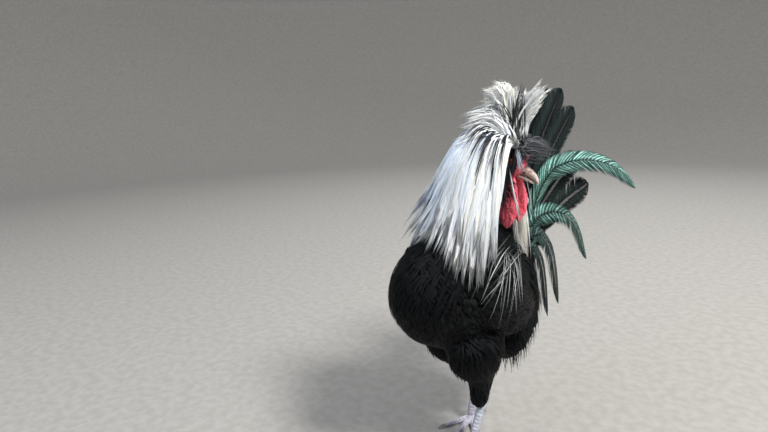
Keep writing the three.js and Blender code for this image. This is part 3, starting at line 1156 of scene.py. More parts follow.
    def saddle(self) -> Vanes:
        """Lays the long hackles of the back, which hang over the flanks and beside the tail.

        Returns:
            The batch.
        """
        rng = np.random.default_rng(self.seed + 3)
        batch = Vanes(self.bird)
        back = lambda p: np.where((p[:, 1] > 8) & (p[:, 2] > 268), 4.6, -1.0)
        points, ways = self.guide.scatter(back, 40000, self.seed + 4)
        n = len(points)
        length = mixed(70.0, 112.0, smooth(0, 90, points[:, 1])) * rng.uniform(0.8, 1.2, n)
        wander = rng.normal(0, 0.10, (n, 3))
        side = np.sign(points[:, 0] + rng.normal(0, 6, n))
        flow = lambda p, m: leaning(side * 0.75, 0.8, -0.5) + wander
        lines, faces = self.guide.combed(points, ways, flow, length, 11, 4.0, 3.0, free=0.62, weight=0.5)
        half = 2.9 * outline(11, 0.4, 0.4, 1.5) * rng.uniform(0.6, 1.2, (n, 1))
        lines = staggered(lines, faces, 2.0, rng)
        batch.add(lines, faces, half, self.black(rng, n, 0.5), along_trunk(points, 0, 130), camber=0.3)
        self.fringe(batch)
        self.apron(batch)
        return batch

    def fringe(self, batch: Vanes) -> None:
        """Adds the loose feathers that hang behind the wings and below the flanks.

        Args:
            batch: The saddle's batch.
        """
        rng = np.random.default_rng(self.seed + 8)

        def where(p: Array) -> Array:
            """Least distances on the rear flank, and none elsewhere."""
            flank = (np.abs(p[:, 0]) > 26) & (p[:, 1] > 22) & (p[:, 1] < 112)
            return np.where(flank & (p[:, 2] > 138) & (p[:, 2] < 232), 6.0, -1.0)

        points, ways = self.guide.scatter(where, 40000, self.seed + 9)
        n = len(points)
        side = np.sign(points[:, 0])
        wander = rng.normal(0, 0.12, (n, 3))
        down = lambda p, m: leaning(side * 0.12, 0.28, -1.0) + wander
        length = rng.uniform(42, 84, n)
        lines, faces = self.guide.combed(points, ways, down, length, 11, 3.0, 3.5, free=0.45, weight=0.35)
        half = rng.uniform(0.8, 2.0, (n, 1)) * outline(11, 0.4, 0.4, 1.3)
        batch.add(lines, faces, half, self.black(rng, n, 0.8), along_trunk(points, 0, 130), camber=0.35)

    def apron(self, batch: Vanes) -> None:
        """Adds the soft flank feathers that hang over the tops of the thighs.

        Args:
            batch: The saddle's batch.
        """
        rng = np.random.default_rng(self.seed + 10)

        def where(p: Array) -> Array:
            """Least distances on the lower flank, and none elsewhere."""
            side = (np.abs(p[:, 0]) > 8) & (p[:, 1] > -88) & (p[:, 1] < 34)
            return np.where(side & (p[:, 2] > 158) & (p[:, 2] < 208), 3.8, -1.0)

        points, ways = self.guide.scatter(where, 50000, self.seed + 11)
        n = len(points)
        side = np.sign(points[:, 0])
        wander = rng.normal(0, 0.10, (n, 3))
        down = lambda p, m: leaning(-0.1 * side, 0.42, -1.0) + wander
        length = rng.uniform(34, 58, n)
        lines, faces = self.guide.combed(points, ways, down, length, 9, 3.0, 2.2, free=0.75, weight=0.1)
        half = rng.uniform(1.6, 2.8, (n, 1)) * outline(9, 0.4, 0.5, 0.9)
        batch.add(lines, faces, half, self.black(rng, n, 0.1), along_trunk(points, -90, 130), camber=0.15)

    def build(self, material: bpy.types.Material) -> None:
        """Makes every piece of the black coat.

        Args:
            material: The finish.
        """
        regions = {
            "coat_trunk": [Contour("trunk", trunk_flow, 4.5, 30, 4.4)],
            "coat_wings": [Contour(f"wing_{side}", wing_flow, 5.0, 32, 5.6) for side in SIDES],
            "coat_legs": [
                *(Contour(f"thigh_{side}", thigh_flow, 4.2, 27, 2.9, rise=0.5) for side in SIDES),
                Contour("vent_fluff", vent_flow, 4.4, 42, 2.6, rise=4.0),
            ],
        }
        for name, parts in regions.items():
            declare(self.lay(parts).build(name), Slot.BLACK, material, [])
        declare(self.hackle().build("coat_hackle"), Slot.BLACK, material, [])
        declare(self.saddle().build("coat_saddle"), Slot.BLACK, material, [])


@dataclass
class Quills:
    """Large feathers made of a shaft and separate barbs."""

    bird: Bird
    bundle: int = 6
    seed: int = 21

    def plume(
        self,
        batch: Vanes,
        spine: Array,
        facing: Array,
        half: Callable[[Array], Array],
        tint: BarbTint,
        patch: Array,
        pitch: float = 1.5,
        sweep: float = 0.16,
        stations: int = 5,
        camber: float = 0.3,
    ) -> None:
        """Adds one feather to a batch.

        Args:
            batch: The batch.
            spine: The shaft's guide points.
            facing: The way the broad side faces.
            half: Half width at shares of the length.
            tint: Colours from shares of the length and places in a bundle of barbs.
            patch: Place of the root on the unwrap.
            pitch: Distance between barbs.
            sweep: Share of the length that a barb runs forward.
            stations: Points on a barb.
            camber: How far the vane's edges droop.
        """
        rng = np.random.default_rng(self.seed + len(batch.parts))
        steps = np.diff(catmull(spine, np.linspace(0, 1, 60)), axis=0)
        length = float(np.sum(np.linalg.norm(steps, axis=1)))
        count = int(length * 0.93 / pitch)
        start = np.linspace(0.05, 0.985, count)
        u = np.linspace(0, 1, stations)
        lines, faces, widths, tints, spots = [], [], [], [], []
        for sign in (-1, 1):
            bundle = np.repeat(rng.normal(0, 1.6, count // self.bundle + 1), self.bundle)[:count]
            group = bundle + rng.normal(0, 0.3, count)
            place = (np.arange(count) % self.bundle) / (self.bundle - 1)
            reach = np.clip(start[:, None] + sweep * (1 + group[:, None] * 0.03) * u**1.25, 0, 1)
            centre = catmull(spine, reach.ravel()).reshape(count, stations, 3)
            after, before = (catmull(spine, np.clip(reach.ravel() + step, 0, 1)) for step in (0.01, -0.01))
            ahead = unit(after - before).reshape(count, stations, 3)
            side = unit(np.cross(ahead, facing))
            over = np.cross(side, ahead)
            wide = half(reach) * (1 + rng.normal(0, 0.02, (count, 1)))
            out = wide * (u * 1.07 - 0.07)
            line = centre + side * (sign * out)[..., None] - over * (camber * np.abs(out) * u)[..., None]
            line = line + over * (group * 0.22)[:, None, None] * u[:, None]
            lines.append(line)
            faces.append(over)
            widths.append(pitch * 0.7 * outline(stations, 0.9, 0.5, 0.6) * np.ones((count, 1)))
            tints.append(tint(reach, place, rng))
            spots.append(np.stack([np.full(count, sign * 0.5), start - 0.5], 1) * 0.02 + patch)
        shaft = catmull(spine, np.linspace(0, 1, 18))[None]
        ahead = unit(np.gradient(shaft, axis=1))
        over = np.cross(unit(np.cross(ahead, facing)), ahead)
        width = (0.32 * (1 - 0.8 * np.linspace(0, 1, 18)))[None]
        black = np.full((1, 3), 0.004)
        batch.add(shaft + over * 0.1, over, width, black, patch[None], camber=0.9, thick=0.9)
        barbs = [np.concatenate(rows) for rows in (lines, faces, widths, tints, spots)]
        batch.add(*barbs, camber=0.15, thick=0.3, thinnest=0.05)


@dataclass(frozen=True)
class Plume:
    """Sizes of one arched plume, in millimetres, and how strong its painted green sheen is.

    It springs from out beside the middle, splays sideways, rises, reaches back and hangs by its tip.
    """

    out: float
    splay: float
    rise: float
    reach: float
    hang: float
    width: float
    shine: float


@dataclass
class Tail:
    """The main tail, the sickles and the lesser sickles.

    The root is a place back and up, and each main blade has a lean in degrees and a length.
    """

    bird: Bird
    quills: Quills
    root: tuple[float, float] = (112.0, 292.0)
    bend: float = 0.2
    great: Plume = Plume(out=24, splay=58, rise=112, reach=242, hang=0, width=37, shine=1.0)
    lesser: tuple[Plume, ...] = (
        Plume(out=29, splay=30, rise=42, reach=132, hang=68, width=36, shine=0.75),
        Plume(out=35, splay=26, rise=20, reach=58, hang=104, width=32, shine=0.25),
        Plume(out=41, splay=22, rise=12, reach=38, hang=104, width=26, shine=0.14),
    )
    blades: tuple[tuple[float, float], ...] = ((63, 247), (58, 232), (45, 180), (31, 165))
    ground: Array = field(default_factory=lambda: np.array([0.005, 0.008, 0.009]))
    # painted sheen: these teals stand for the green gloss of the plumes, the lighter one for its painted
    # highlights
    sheen_teal: Array = field(default_factory=lambda: np.array([0.045, 0.145, 0.12]))
    highlight_teal: Array = field(default_factory=lambda: np.array([0.26, 0.52, 0.46]))

    def green(self, strength: float, fade: float = 0.0) -> BarbTint:
        """Makes a tint of black with a painted green sheen and painted highlights, in bundles of barbs.

        Args:
            strength: Brightness of the painted sheen.
            fade: How far the painted sheen fades towards the tip.

        Returns:
            The tint.
        """

        def tint(reach: Array, place: Array, rng: np.random.Generator) -> Array:
            """Colours barbs at shares of the length and places in their bundle.

            Args:
                reach: Shares, (n, k).
                place: Places, (n,).
                rng: Random draw.

            Returns:
                Colours, (n, k, 3).
            """
            count = len(reach)
            # painted highlight: the first barbs of each bundle are lighter and paler, the last ones darker
            lit = np.clip(1.3 - 1.2 * place**1.8 + rng.normal(0, 0.22, count), 0.12, 1.6)[:, None, None]
            edge = np.linspace(0.8, 1.15, reach.shape[1])[None, :, None]
            along = (1 - fade * smooth(0.35, 0.95, reach))[..., None]
            teal = mixed(self.sheen_teal, self.highlight_teal, np.clip(lit - 0.5, 0, 1))
            return self.ground + teal * strength * lit * edge * along

        return tint

    def main_blades(self, side: str, batch: Vanes) -> list[str]:
        """Adds one side's main tail feathers.

        Args:
            side: The side.
            batch: The batch.

        Returns:
            The solids that they replace.
        """
        sign = SIDES[side]
        share = np.array([0.0, 0.34, 0.7, 1.0])
        half = lambda t: np.interp(t, (0, 0.3, 0.65, 1), (6, 18, 25, 24)) * self.tip(t, 0.84, 2.4)
        facing = unit(np.array([sign, 0, 0.25]))
        looks = {"pitch": 1.25, "sweep": 0.13, "camber": 0.16}
        for i, (lean, length) in enumerate(self.blades):
            plane, spread = sign * (7 + 3.4 * i), 0.02 + 0.055 * i
            angle = math.radians(lean) + self.bend * (1 - share)
            across = plane + sign * spread * length * share
            back = self.root[0] - 6 + np.cos(angle) * length * share
            up = self.root[1] - 6 * i + np.sin(angle) * length * share
            place = np.array([0.3 + 0.1 * i + (0.04 if sign > 0 else 0), 0.2])
            spine = np.stack([across, back, up], 1)
            self.quills.plume(batch, spine, facing, half, self.green(0.035), place, **looks)
        return [f"tail_{side}_{i + 1}" for i in range(len(self.blades))]

    def tip(self, t: Array, start: float, power: float) -> Array:
        """Returns the share of the width that is left where a vane rounds off."""
        return np.maximum(1 - np.clip((t - start) / (1 - start), 0, 1) ** power, 0) ** 0.5

    def sickle(
        self, side: str, batch: Vanes, shape: Plume, root: tuple[float, float], spot: float, fade: float
    ) -> None:
        """Adds a plume that rises, arches over and hangs by its tip.

        Args:
            side: The side.
            batch: The batch.
            shape: The plume's sizes.
            root: Place of its root, back and up.
            spot: Place on the unwrap.
            fade: How far its green fades towards the tip.
        """
        sign = SIDES[side]
        shares = [(0, 0, 0, 0), (0.08, 0.1, 0.62, 0), (0.3, 0.22, 0.95, 0)]
        shares += [(0.56, 0.48, 1, 0.03), (0.8, 0.78, 0.82, 0.3), (1, 1, 0.48, 1)]
        steps = np.array(shares) * [sign * shape.splay, shape.reach, shape.rise, -shape.hang]
        base = np.array([sign * shape.out, *root])
        spine = base + np.stack([steps[:, 0], steps[:, 1], steps[:, 2] + steps[:, 3]], 1)
        table = np.array((0.5, 0.85, 1, 1, 0.92, 0.66)) * shape.width / 2
        half = lambda t: np.interp(t, np.linspace(0, 1, 6), table) * self.tip(t, 0.86, 1.6)
        facing = unit(np.array([sign, 0, 0.35]))
        tint = self.green(shape.shine, fade)
        self.quills.plume(batch, spine, facing, half, tint, np.array([spot, 0.6]), pitch=1.3, sweep=0.11)

    def build(self, material: bpy.types.Material, dark: bpy.types.Material) -> None:
        """Makes the tail's pieces.

        Args:
            material: The finish of the sickles.
            dark: The finish of the main blades.
        """
        for side in SIDES:
            blades = Vanes(self.bird)
            names = self.main_blades(side, blades)
            declare(blades.build(f"tail_blades_{side}"), Slot.TAIL, dark, names)
            plumes = Vanes(self.bird)
            self.sickle(side, plumes, self.great, (self.root[0] - 4, self.root[1] - 4), 0.2, 0.25)
            names = [f"sickle_{side}"]
            for i, shape in enumerate(self.lesser):
                root = (self.root[0] - 14 - 14 * i, self.root[1] - 8 - 6 * i)
                self.sickle(side, plumes, shape, root, 0.3 + 0.1 * i, 0.6 + 0.1 * i)
                names.append(f"lesser_sickle_{side}_{i + 1}")
            declare(plumes.build(f"sickles_{side}"), Slot.TAIL, material, names)


class Shade(Enum):
    """The crest's tints: shares of cream and of painted blue shade in a white, or a kind of black."""

    PALE = (0.08, 0.2)
    CREAM = (0.5, 0.1)
    WARM = (0.35, 0.2)
    # painted shade: a white that is bluer and darker, as white looks in shade
    SHADED_WHITE = (0.0, 0.85)
    BLACK = "black"
    GREY = "grey"


@dataclass(frozen=True)
class Spray:
    """Groups of feathers that spring from one root and bend over to a row of tips.

    Places are in the crest's frame, in millimetres. A feather rises over the straight way by bend
    times its sideways run; deep is half the depth of the row of tips; half is the greatest half
    width; shortest is the least share of the way that a group runs; stray is how far single tips
    stray; seed is added to the crest's; spot is the place on the unwrap.
    """

    root: Point
    tips: tuple[Point, ...]
    groups: int
    each: int
    shade: Shade
    bend: float = 0.2
    deep: float = 10.0
    half: float = 2.2
    shortest: float = 0.6
    stray: float = 3.0
    seed: int = 0
    spot: float = 0.5


@dataclass(frozen=True)
class Tuft:
    """Feathers round a spine in the crest's frame, in millimetres.

    Spread is the radius at the root and at the tips, flat scales it along the three axes, and over
    says whether the tuft lies over the breast. The other words are a Spray's.
    """

    spine: tuple[Point, ...]
    spread: tuple[float, float]
    count: int
    shade: Shade
    half: float = 2.2
    stray: float = 4.0
    shortest: float = 0.7
    flat: Point = (1, 1, 1)
    seed: int = 0
    spot: float = 0.5
    over: bool = False


CURL = (
    (8, -8, 66), (-4, -8, 76), (-18, -8, 80), (-34, -8, 79), (-46, -8, 70), (-46, -8, 57), (-48, -9, 44)
)
WISPS = ((-60, -10, 38), (-76, -12, 35), (-84, -14, 30))
CROWN = ((-44, -10, 46), (-58, -12, 41), (-72, -14, 34), (-76, -18, 22), (-82, -26, 4), (-84, -42, -12))
TALL = ((10, -8, 62), (22, -5, 71), (33, -5, 73), (42, -5, 82), (48, -5, 66), (41, -6, 52), (34, -6, 36))
DARK = ((2, -17, 62), (8, -17, 74), (16, -16, 80), (27, -15, 66))
ARCS = ((-24, -18, 46), (-40, -18, 42), (-56, -20, 30))
REAR = ((-20, 16, 50), (0, 20, 60), (30, 14, 50))
VISOR = (
    (12, 0, 4), (28, 0, 2), (44, 0, -1), (60, 0, -7),
    (65, 0, -19), (52, 0, -32), (34, -4, -37), (18, -8, -34),
)


@dataclass
class Crest:
    """The mop of long feathers: a drape over the neck, two raised tufts and a black front tuft.

    The profiles are steps out and up from the knob to the feather tips, in millimetres. Each sheet
    of the drape has its least and greatest bearing and its number of locks.
    """

    bird: Bird
    guide: Guide
    back: tuple[tuple[float, float], ...] = (
        (0, 0), (42, 26), (74, 6), (97, -34), (117, -72), (150, -118)
    )
    right: tuple[tuple[float, float], ...] = (
        (0, 0), (36, 4), (66, -22), (88, -74), (102, -129), (108, -184)
    )
    left: tuple[tuple[float, float], ...] = (
        (0, 0), (22, 4), (39, -20), (52, -68), (60, -120), (64, -170)
    )
    sheets: tuple[tuple[str, float, float, int], ...] = (
        ("crest_right", 38, 89, 112), ("crest_back", -40, 40, 112), ("crest_left", -78, -38, 84)
    )
    sprays: tuple[Spray, ...] = (
        Spray((-4, -6, 0), CURL, 22, 19, Shade.PALE, 0.36, 11, 2.5, 0.72, 1.8, seed=1, spot=0.2),
        Spray((-4, 0, 0), CURL, 16, 18, Shade.CREAM, 0.32, 9, 2.3, 0.45, seed=2, spot=0.25),
        Spray((-2, -14, -4), WISPS, 6, 4, Shade.PALE, 0.25, 6, 1.3, 0.85, 1.6, seed=3, spot=0.28),
        Spray((0, -13, -5), CROWN, 40, 17, Shade.PALE, 0.2, 12, 2.7, 0.5, 1.8, seed=15, spot=0.3),
        Spray((3, -3, -3), TALL, 20, 20, Shade.PALE, 0.04, 9, 2.8, 0.62, 1.5, seed=4, spot=0.4),
        Spray((5, -14, -8), DARK, 7, 4, Shade.BLACK, 0.05, 2, 1.6, 0.85, 0.8, seed=5, spot=0.5),
        Spray((4, -17, -6), ARCS, 4, 3, Shade.BLACK, 0.42, 3, 1.2, 0.85, 1.2, seed=16, spot=0.52),
        Spray((-4, 4, -2), REAR, 12, 16, Shade.PALE, seed=6, spot=0.55),
    )
    knob: Tuft = Tuft(
        ((-12, 0, -12), (-14, 0, 6), (-22, -4, 22)), (19, 29), 150, Shade.PALE, stray=14, seed=5, spot=0.6
    )
    brow_tufts: tuple[Tuft, ...] = (
        Tuft(
            ((7, -15, -14), (10, -18, -24), (13, -19, -36), (15, -20, -47)),
            (3, 4), 30, Shade.SHADED_WHITE, 1.1, 4, seed=8, spot=0.7,
        ),
        Tuft(
            ((5, -16, 3), (8, -18, -5), (10, -18, -13)),
            (1.5, 2), 12, Shade.SHADED_WHITE, 1.0, 2, seed=17, spot=0.7,
        ),
    )
    strands: tuple[Tuft, ...] = (
        Tuft(
            ((-1, -22, -40), (6, -24, -75), (13, -24, -102), (19, -24, -131)),
            (0.9, 1.8), 9, Shade.PALE, 0.7, 2.4, shortest=0.75, seed=9, spot=0.72,
        ),
        Tuft(
            ((18, -10, -48), (24, -10, -75), (28, -10, -95), (31, -10, -114)),
            (0.7, 1.6), 5, Shade.PALE, 0.5, 2.4, seed=10, spot=0.74,
        ),
        Tuft(
            ((-8, 17, -12), (-7, 30, -58), (3, 26, -112), (9, 20, -190)),
            (9, 9), 150, Shade.WARM, 2.3, 6, 0.78, (1, 0.8, 0.4), seed=11, spot=0.8, over=True,
        ),
    )
    visor: Spray = Spray(
        (8, -2, -14), VISOR, 34, 17, Shade.GREY, 0.06, 14, 1.0, 0.6, 3.0, seed=12, spot=0.3
    )
    cheeks: tuple[Tuft, ...] = (
        Tuft(
            ((-2, -15, -10), (-7, -21, -46), (-9, -24, -84), (-9, -25, -124)),
            (6, 11), 66, Shade.BLACK, 0.9, 5, 0.45, (1, 0.4, 0.5), seed=13, spot=0.5,
        ),
        Tuft(
            ((4, -13, -8), (6, -17, -26), (2, -20, -44), (-2, -21, -58)),
            (4, 4), 46, Shade.BLACK, 1.0, 3, seed=14, spot=0.6,
        ),
    )
    streak_tips: tuple[tuple[float, float], ...] = (
        (90, 0.62), (84, 0.74), (78, 0.62), (70, 0.70), (63, 0.56), (57, 0.66),
        (49, 0.56), (42, 0.48), (34, 0.42), (24, 0.36), (10, 0.30),
    )
    over_breast: Point = (0.60, -0.66, 0.45)
    brow: Point = (6.0, -20.0, -6.0)
    stations: int = 12
    each: int = 18
    seed: int = 41

    def profile(self, points: Sequence[Sequence[float]], v: Array) -> Array:
        """Runs along a profile, and straight on past its tip.

        Args:
            points: The profile.
            v: Shares of the way to the tip.

        Returns:
            Steps out and up.
        """
        table = np.array(points, float)
        before, end = catmull(table, np.array([0.97, 1.0]))
        inside = catmull(table, v.ravel()).reshape(*v.shape, 2)
        return inside + (np.maximum(v - 1, 0) / 0.03)[..., None] * (end - before)

    def fall(self, bearing: Array, v: Array, inset: Array) -> Array:
        """Returns points on the fall of the crest.

        Args:
            bearing: Degrees from over the back of the head, positive to its right.
            v: From 0 at the knob to 1 at the tips of the solid.
            inset: How far inside the outer surface.

        Returns:
            Points in the crest's frame.
        """
        angle = np.radians(180 + bearing)
        sideways = np.abs(np.sin(angle))
        rear = self.profile(self.back, v)
        side = np.where((bearing > 0)[..., None], self.profile(self.right, v), self.profile(self.left, v))
        out = np.maximum(mixed(rear[..., 0], side[..., 0], sideways**4) - inset, 0)
        up = mixed(rear[..., 1], side[..., 1], sideways**1.6) - inset * np.maximum(1 - v, 0)
        return np.stack([np.cos(angle) * out, np.sin(angle) * out, up], -1)

    def outward(self, bearing: Array, v: Array) -> Array:
        """Finds the way out of the fall's surface.

        Args:
            bearing: As in fall.
            v: As in fall.

        Returns:
            Unit vectors in the bird's frame.
        """
        none, step = np.zeros_like(v), 0.02
        ahead = self.fall(bearing, v + step, none) - self.fall(bearing, v - step, none)
        beside = self.fall(bearing + 3, v, none) - self.fall(bearing - 3, v, none)
        frame = self.bird.crest()
        way = unit(np.cross(ahead, beside))
        inner = self.fall(bearing, v, np.full_like(v, 4.0)) - self.fall(bearing, v, none)
        way = np.where(np.sum(way * inner, axis=-1, keepdims=True) > 0, -way, way)
        return frame(way) - frame(np.zeros(3))

    def whites(self, rng: np.random.Generator, n: int, cream: float, shade_blue: Array | float = 0.3) -> Array:
        """Returns white tints.

        Args:
            rng: Random draw.
            n: How many.
            cream: Share of cream.
            shade_blue: Share of blue, which stands for painted shade.

        Returns:
            Colours, (n, 3).
        """
        share = np.clip(rng.normal(cream, 0.2, (n, 1)), 0, 1)
        # painted shade: the share of blue tints the white as white looks in shade
        blue = np.clip(rng.normal(0, 0.15, (n, 1)) + np.asarray(shade_blue).reshape(-1, 1), 0, 1)
        tint = mixed(np.array([0.96, 0.96, 0.95]), np.array([0.62, 0.75, 0.95]), blue)
        return mixed(tint, np.array([0.96, 0.89, 0.66]), share) * rng.uniform(0.88, 1.03, (n, 1))

    def black(self, rng: np.random.Generator, n: int) -> Array:
        """Returns greyish black tints."""
        return np.array([0.020, 0.021, 0.023]) * rng.uniform(0.2, 2.4, (n, 1)) ** 1.3

    def tinted(self, shade: Shade, rng: np.random.Generator, n: int) -> Array:
        """Returns tints of a shade.

        Args:
            shade: The shade.
            rng: Random draw.
            n: How many.

        Returns:
            Colours, (n, 3).
        """
        if shade is Shade.BLACK:
            return self.black(rng, n)
        if shade is Shade.GREY:
            return self.black(rng, n) * 3.2 + 0.006
        whites = self.whites(rng, n, *shade.value)
        # painted shade: the shaded white is darkened as well as blued
        return whites * rng.uniform(0.4, 0.9, (n, 1)) if shade is Shade.SHADED_WHITE else whites

    def spots(self, rng: np.random.Generator, n: int, spot: float) -> Array:
        """Returns places on the unwrap, round a column of it."""
        return np.stack([np.full(n, spot) + rng.uniform(-0.04, 0.04, n), rng.random(n) * 0.9 + 0.05], 1)

    def drape(self, batch: Vanes, low: float, high: float, locks: int, seed: int) -> None:
        """Adds locks between two bearings, each gathered to a point.

        Args:
            batch: The batch.
            low: Least bearing.
            high: Greatest bearing.
            locks: Number of locks.
            seed: Seed of the random draw.
        """
        rng = np.random.default_rng(seed)
        t = np.linspace(0, 1, self.stations)
        each = self.each
        n = locks * each
        middle = low + (high - low) * (rng.permutation(locks) + rng.random(locks)) / locks
        layer = rng.random(locks) ** 1.3
        length = mixed(rng.uniform(0.88, 1.09, locks), rng.uniform(0.70, 1.0, locks), layer)
        spread = rng.normal(0, 1, n)
        gather = 1 - 0.92 * smooth(0.42, 1.0, t) ** 0.8
        bearing = middle.repeat(each)[:, None] + (spread * 4.6)[:, None] * gather
        veer = rng.normal(0, 5.0, locks).repeat(each)[:, None]
        bearing = bearing + veer * t**2 + rng.normal(0, 0.5, (n, 1)) * t**2
        waves = TURN * t * rng.uniform(0.5, 1.0, locks)[:, None]
        bend = np.sin(waves + rng.uniform(0, 6.28, locks)[:, None])
        bearing = bearing + (bend * rng.uniform(0.5, 2.6, locks)[:, None] * t).repeat(each, 0)
        edge = rng.uniform(-12, 17, locks).repeat(each)[:, None] * t
        bearing = np.clip(bearing, low - 3, high + edge)
        start = rng.uniform(0.02, 0.30, n) * rng.random(n) ** 1.6
        end = length.repeat(each) * (1 - 0.05 * np.abs(spread)) * rng.uniform(0.93, 1.0, n)
        v = start[:, None] + (end - start)[:, None] * t
        inset = (layer * 8).repeat(each)[:, None] * (1 - 0.6 * t) + rng.normal(0, 1.1, (n, 1)) * gather
        line = self.fall(bearing, v, np.maximum(inset, -1.5))
        pull = (smooth(-15, 35, bearing) * (1 - smooth(0.0, 0.44, v) ** 0.8))[..., None]
        line = mixed(line, np.array(self.brow) + rng.normal(0, 2.5, (n, 1, 3)), pull)
        line = line + rng.normal(0, 0.6, (n, 1, 3)) * t[:, None] ** 2
        away = self.outward(bearing, v)
        placed = self.bird.crest()(line)
        top = 1 - layer.repeat(each)
        rise = (top * 3.2 + rng.uniform(0, 2.6, locks).repeat(each))[:, None] * smooth(0.3, 0.8, t)
        curl = (rng.uniform(-1, 1, locks) ** 3 * 9.0).repeat(each)[:, None] * t**4
        toward = self.over_breast if low > 30 else None
        placed = self.guide.lifted(placed, toward, 2.5) + away * (rise + curl)[..., None]
        bold = 1 + 0.45 * (rng.random(locks) < 0.4).repeat(each) * (top > 0.5)
        half = rng.uniform(1.6, 3.3, (n, 1)) * bold[:, None] * outline(self.stations, 0.3, 0.62, 0.95)
        # painted shade: locks towards the left of the fall, at low bearings, get more blue
        shade_blue = smooth(70, 0, bearing[:, -1]) * 0.72 + 0.2
        # painted shade: locks of the lower layers, under the top ones, are darker
        deep = (mixed(0.92, 1.0, top) * rng.uniform(0.92, 1.03, locks).repeat(each))[:, None]
        tint = self.whites(rng, n, 0.03, shade_blue) * deep
        patch = np.stack([(bearing[:, 0] + 180) / 360, 0.1 + 0.8 * rng.random(n)], 1)
        batch.add(placed, away, half, tint, patch, camber=0.22, spin=rng.normal(0, 0.14, n))

    def fan(self, batch: Vanes, spray: Spray) -> None:
        """Adds the groups of a spray.

        Args:
            batch: The batch.
            spray: The spray.
        """
        rng = np.random.default_rng(self.seed + 200 + spray.seed)
        groups, each, stray = spray.groups, spray.each, spray.stray
        n = groups * each
        ends = catmull(np.array(spray.tips, float), (rng.permutation(groups) + rng.random(groups)) / groups)
        ends[:, 1] += rng.uniform(-spray.deep, spray.deep, groups)
        middle = np.asarray(spray.root, float)
        ends = middle + (ends - middle) * rng.uniform(spray.shortest, 1.0, (groups, 1)) ** 0.7
        start = middle + rng.normal(0, 1, (n, 3)) * [4.0, 4.5, 3.0]
        run = ends.repeat(each, 0) - start
        run = run * rng.uniform(0.82, 1.04, (n, 1)) + rng.normal(0, stray * 0.6, (n, 3))
        two = start + run * [0.5, 0.6, 0.75] + rng.normal(0, stray * 1.3, (n, 3))
        two[:, 2] += spray.bend * np.abs(run[:, 0])
        one = start + (two - start) * [0.32, 0.4, 0.5] + rng.normal(0, 1.6, (n, 3))
        line = self.bird.crest()(threads(np.stack([start, one, two, start + run], 1), self.stations))
        facing = unit(rng.normal(0, 0.3, (n, 1, 3)) + [[[0.7, -0.45, 0.55]]])
        widths = rng.uniform(0.4, 1.0, (n, 1)) * spray.half * outline(self.stations, 0.35, 0.4, 1.5)
        patch = self.spots(rng, n, spray.spot)
        colours = self.tinted(spray.shade, rng, n)
        batch.add(line, np.broadcast_to(facing, line.shape), widths, colours, patch, camber=0.3)

    def tuft(self, batch: Vanes, tuft: Tuft) -> None:
        """Adds a tuft round its spine.

        Args:
            batch: The batch.
            tuft: The tuft.
        """
        rng = np.random.default_rng(self.seed + 100 + tuft.seed)
        count, stations, flat = tuft.count, self.stations, tuft.flat
        t = np.linspace(0, 1, stations)
        length = rng.uniform(tuft.shortest, 1.0, (count, 1))
        centre = catmull(np.array(tuft.spine, float), (t * length).ravel()).reshape(count, stations, 3)
        away = unit(rng.normal(0, 1, (count, 3))) * rng.uniform(0, 1, (count, 1)) ** 0.5 * flat
        radius = mixed(tuft.spread[0], tuft.spread[1], smooth(0, 1, t))[None, :, None]
        wander = unit(rng.normal(0, 1, (count, 3)))[:, None] * tuft.stray * (t**2)[None, :, None] * flat
        line = self.bird.crest()(centre + away[:, None] * radius + wander)
        line = self.guide.lifted(line, self.over_breast, 2.0) if tuft.over else line
        facing = unit(rng.normal(0, 0.7, (count, 1, 3)) + [[[0.6, -0.7, 0.35]]])
        widths = rng.uniform(0.45, 1.0, (count, 1)) * tuft.half * outline(stations, 0.35, 0.4, 1.5)
        patch = self.spots(rng, count, tuft.spot)
        colours = self.tinted(tuft.shade, rng, count)
        batch.add(line, np.broadcast_to(facing, line.shape), widths, colours, patch, camber=0.3)

    def streaks(self, batch: Vanes) -> None:
        """Lays the black feathers that radiate from the brow over the white, greyer to their tips.

        Each streak ends at a bearing and a share of the fall, and has five black and three white feathers.

        Args:
            batch: The batch.
        """
        rng = np.random.default_rng(self.seed + 9)
        each, black = 8, 5
        ends = np.array(self.streak_tips).repeat(each, 0)
        n = len(ends)
        dark = np.arange(n) % each < black
        aside = np.where(dark, -1.0, 2.6)
        bearing = ends[:, 0] + rng.normal(0, 1.2, n) + aside
        v = ends[:, 1] * rng.uniform(0.66, 1.04, n)
        lift = rng.uniform(1.5, 4.5, len(self.streak_tips)).repeat(each) + rng.normal(0, 0.7, n)
        root = np.array(self.brow) + [1, -1, 0] + rng.normal(0, 1, (n, 3)) * [2.0, 2.0, 2.5]
        shares = ((0.42, 1.0), (0.74, 0.9), (1.0, 0.5))
        marks = [root] + [self.fall(bearing, v * share, -lift * height) for share, height in shares]
        line = self.bird.crest()(threads(np.stack(marks, 1), self.stations))
        t = np.linspace(0, 1, self.stations)
        way = self.outward(bearing[:, None] + t * 0, v[:, None] * (0.2 + 0.8 * t))
        half = rng.uniform(0.6, 1.5, (n, 1)) * outline(self.stations, 0.5, 0.4, 1.4)
        grey = (0.6 + 2.0 * t**3)[None, :, None] * rng.uniform(0.5, 1.7, (n, 1, 1))
        pale = self.whites(rng, n, 0.0, 0.3)[:, None]
        tint = np.where(dark[:, None, None], np.array([0.014, 0.015, 0.018]) * grey, pale)
        batch.add(line, way, half, tint, np.stack([np.full(n, 0.92), rng.random(n)], 1))

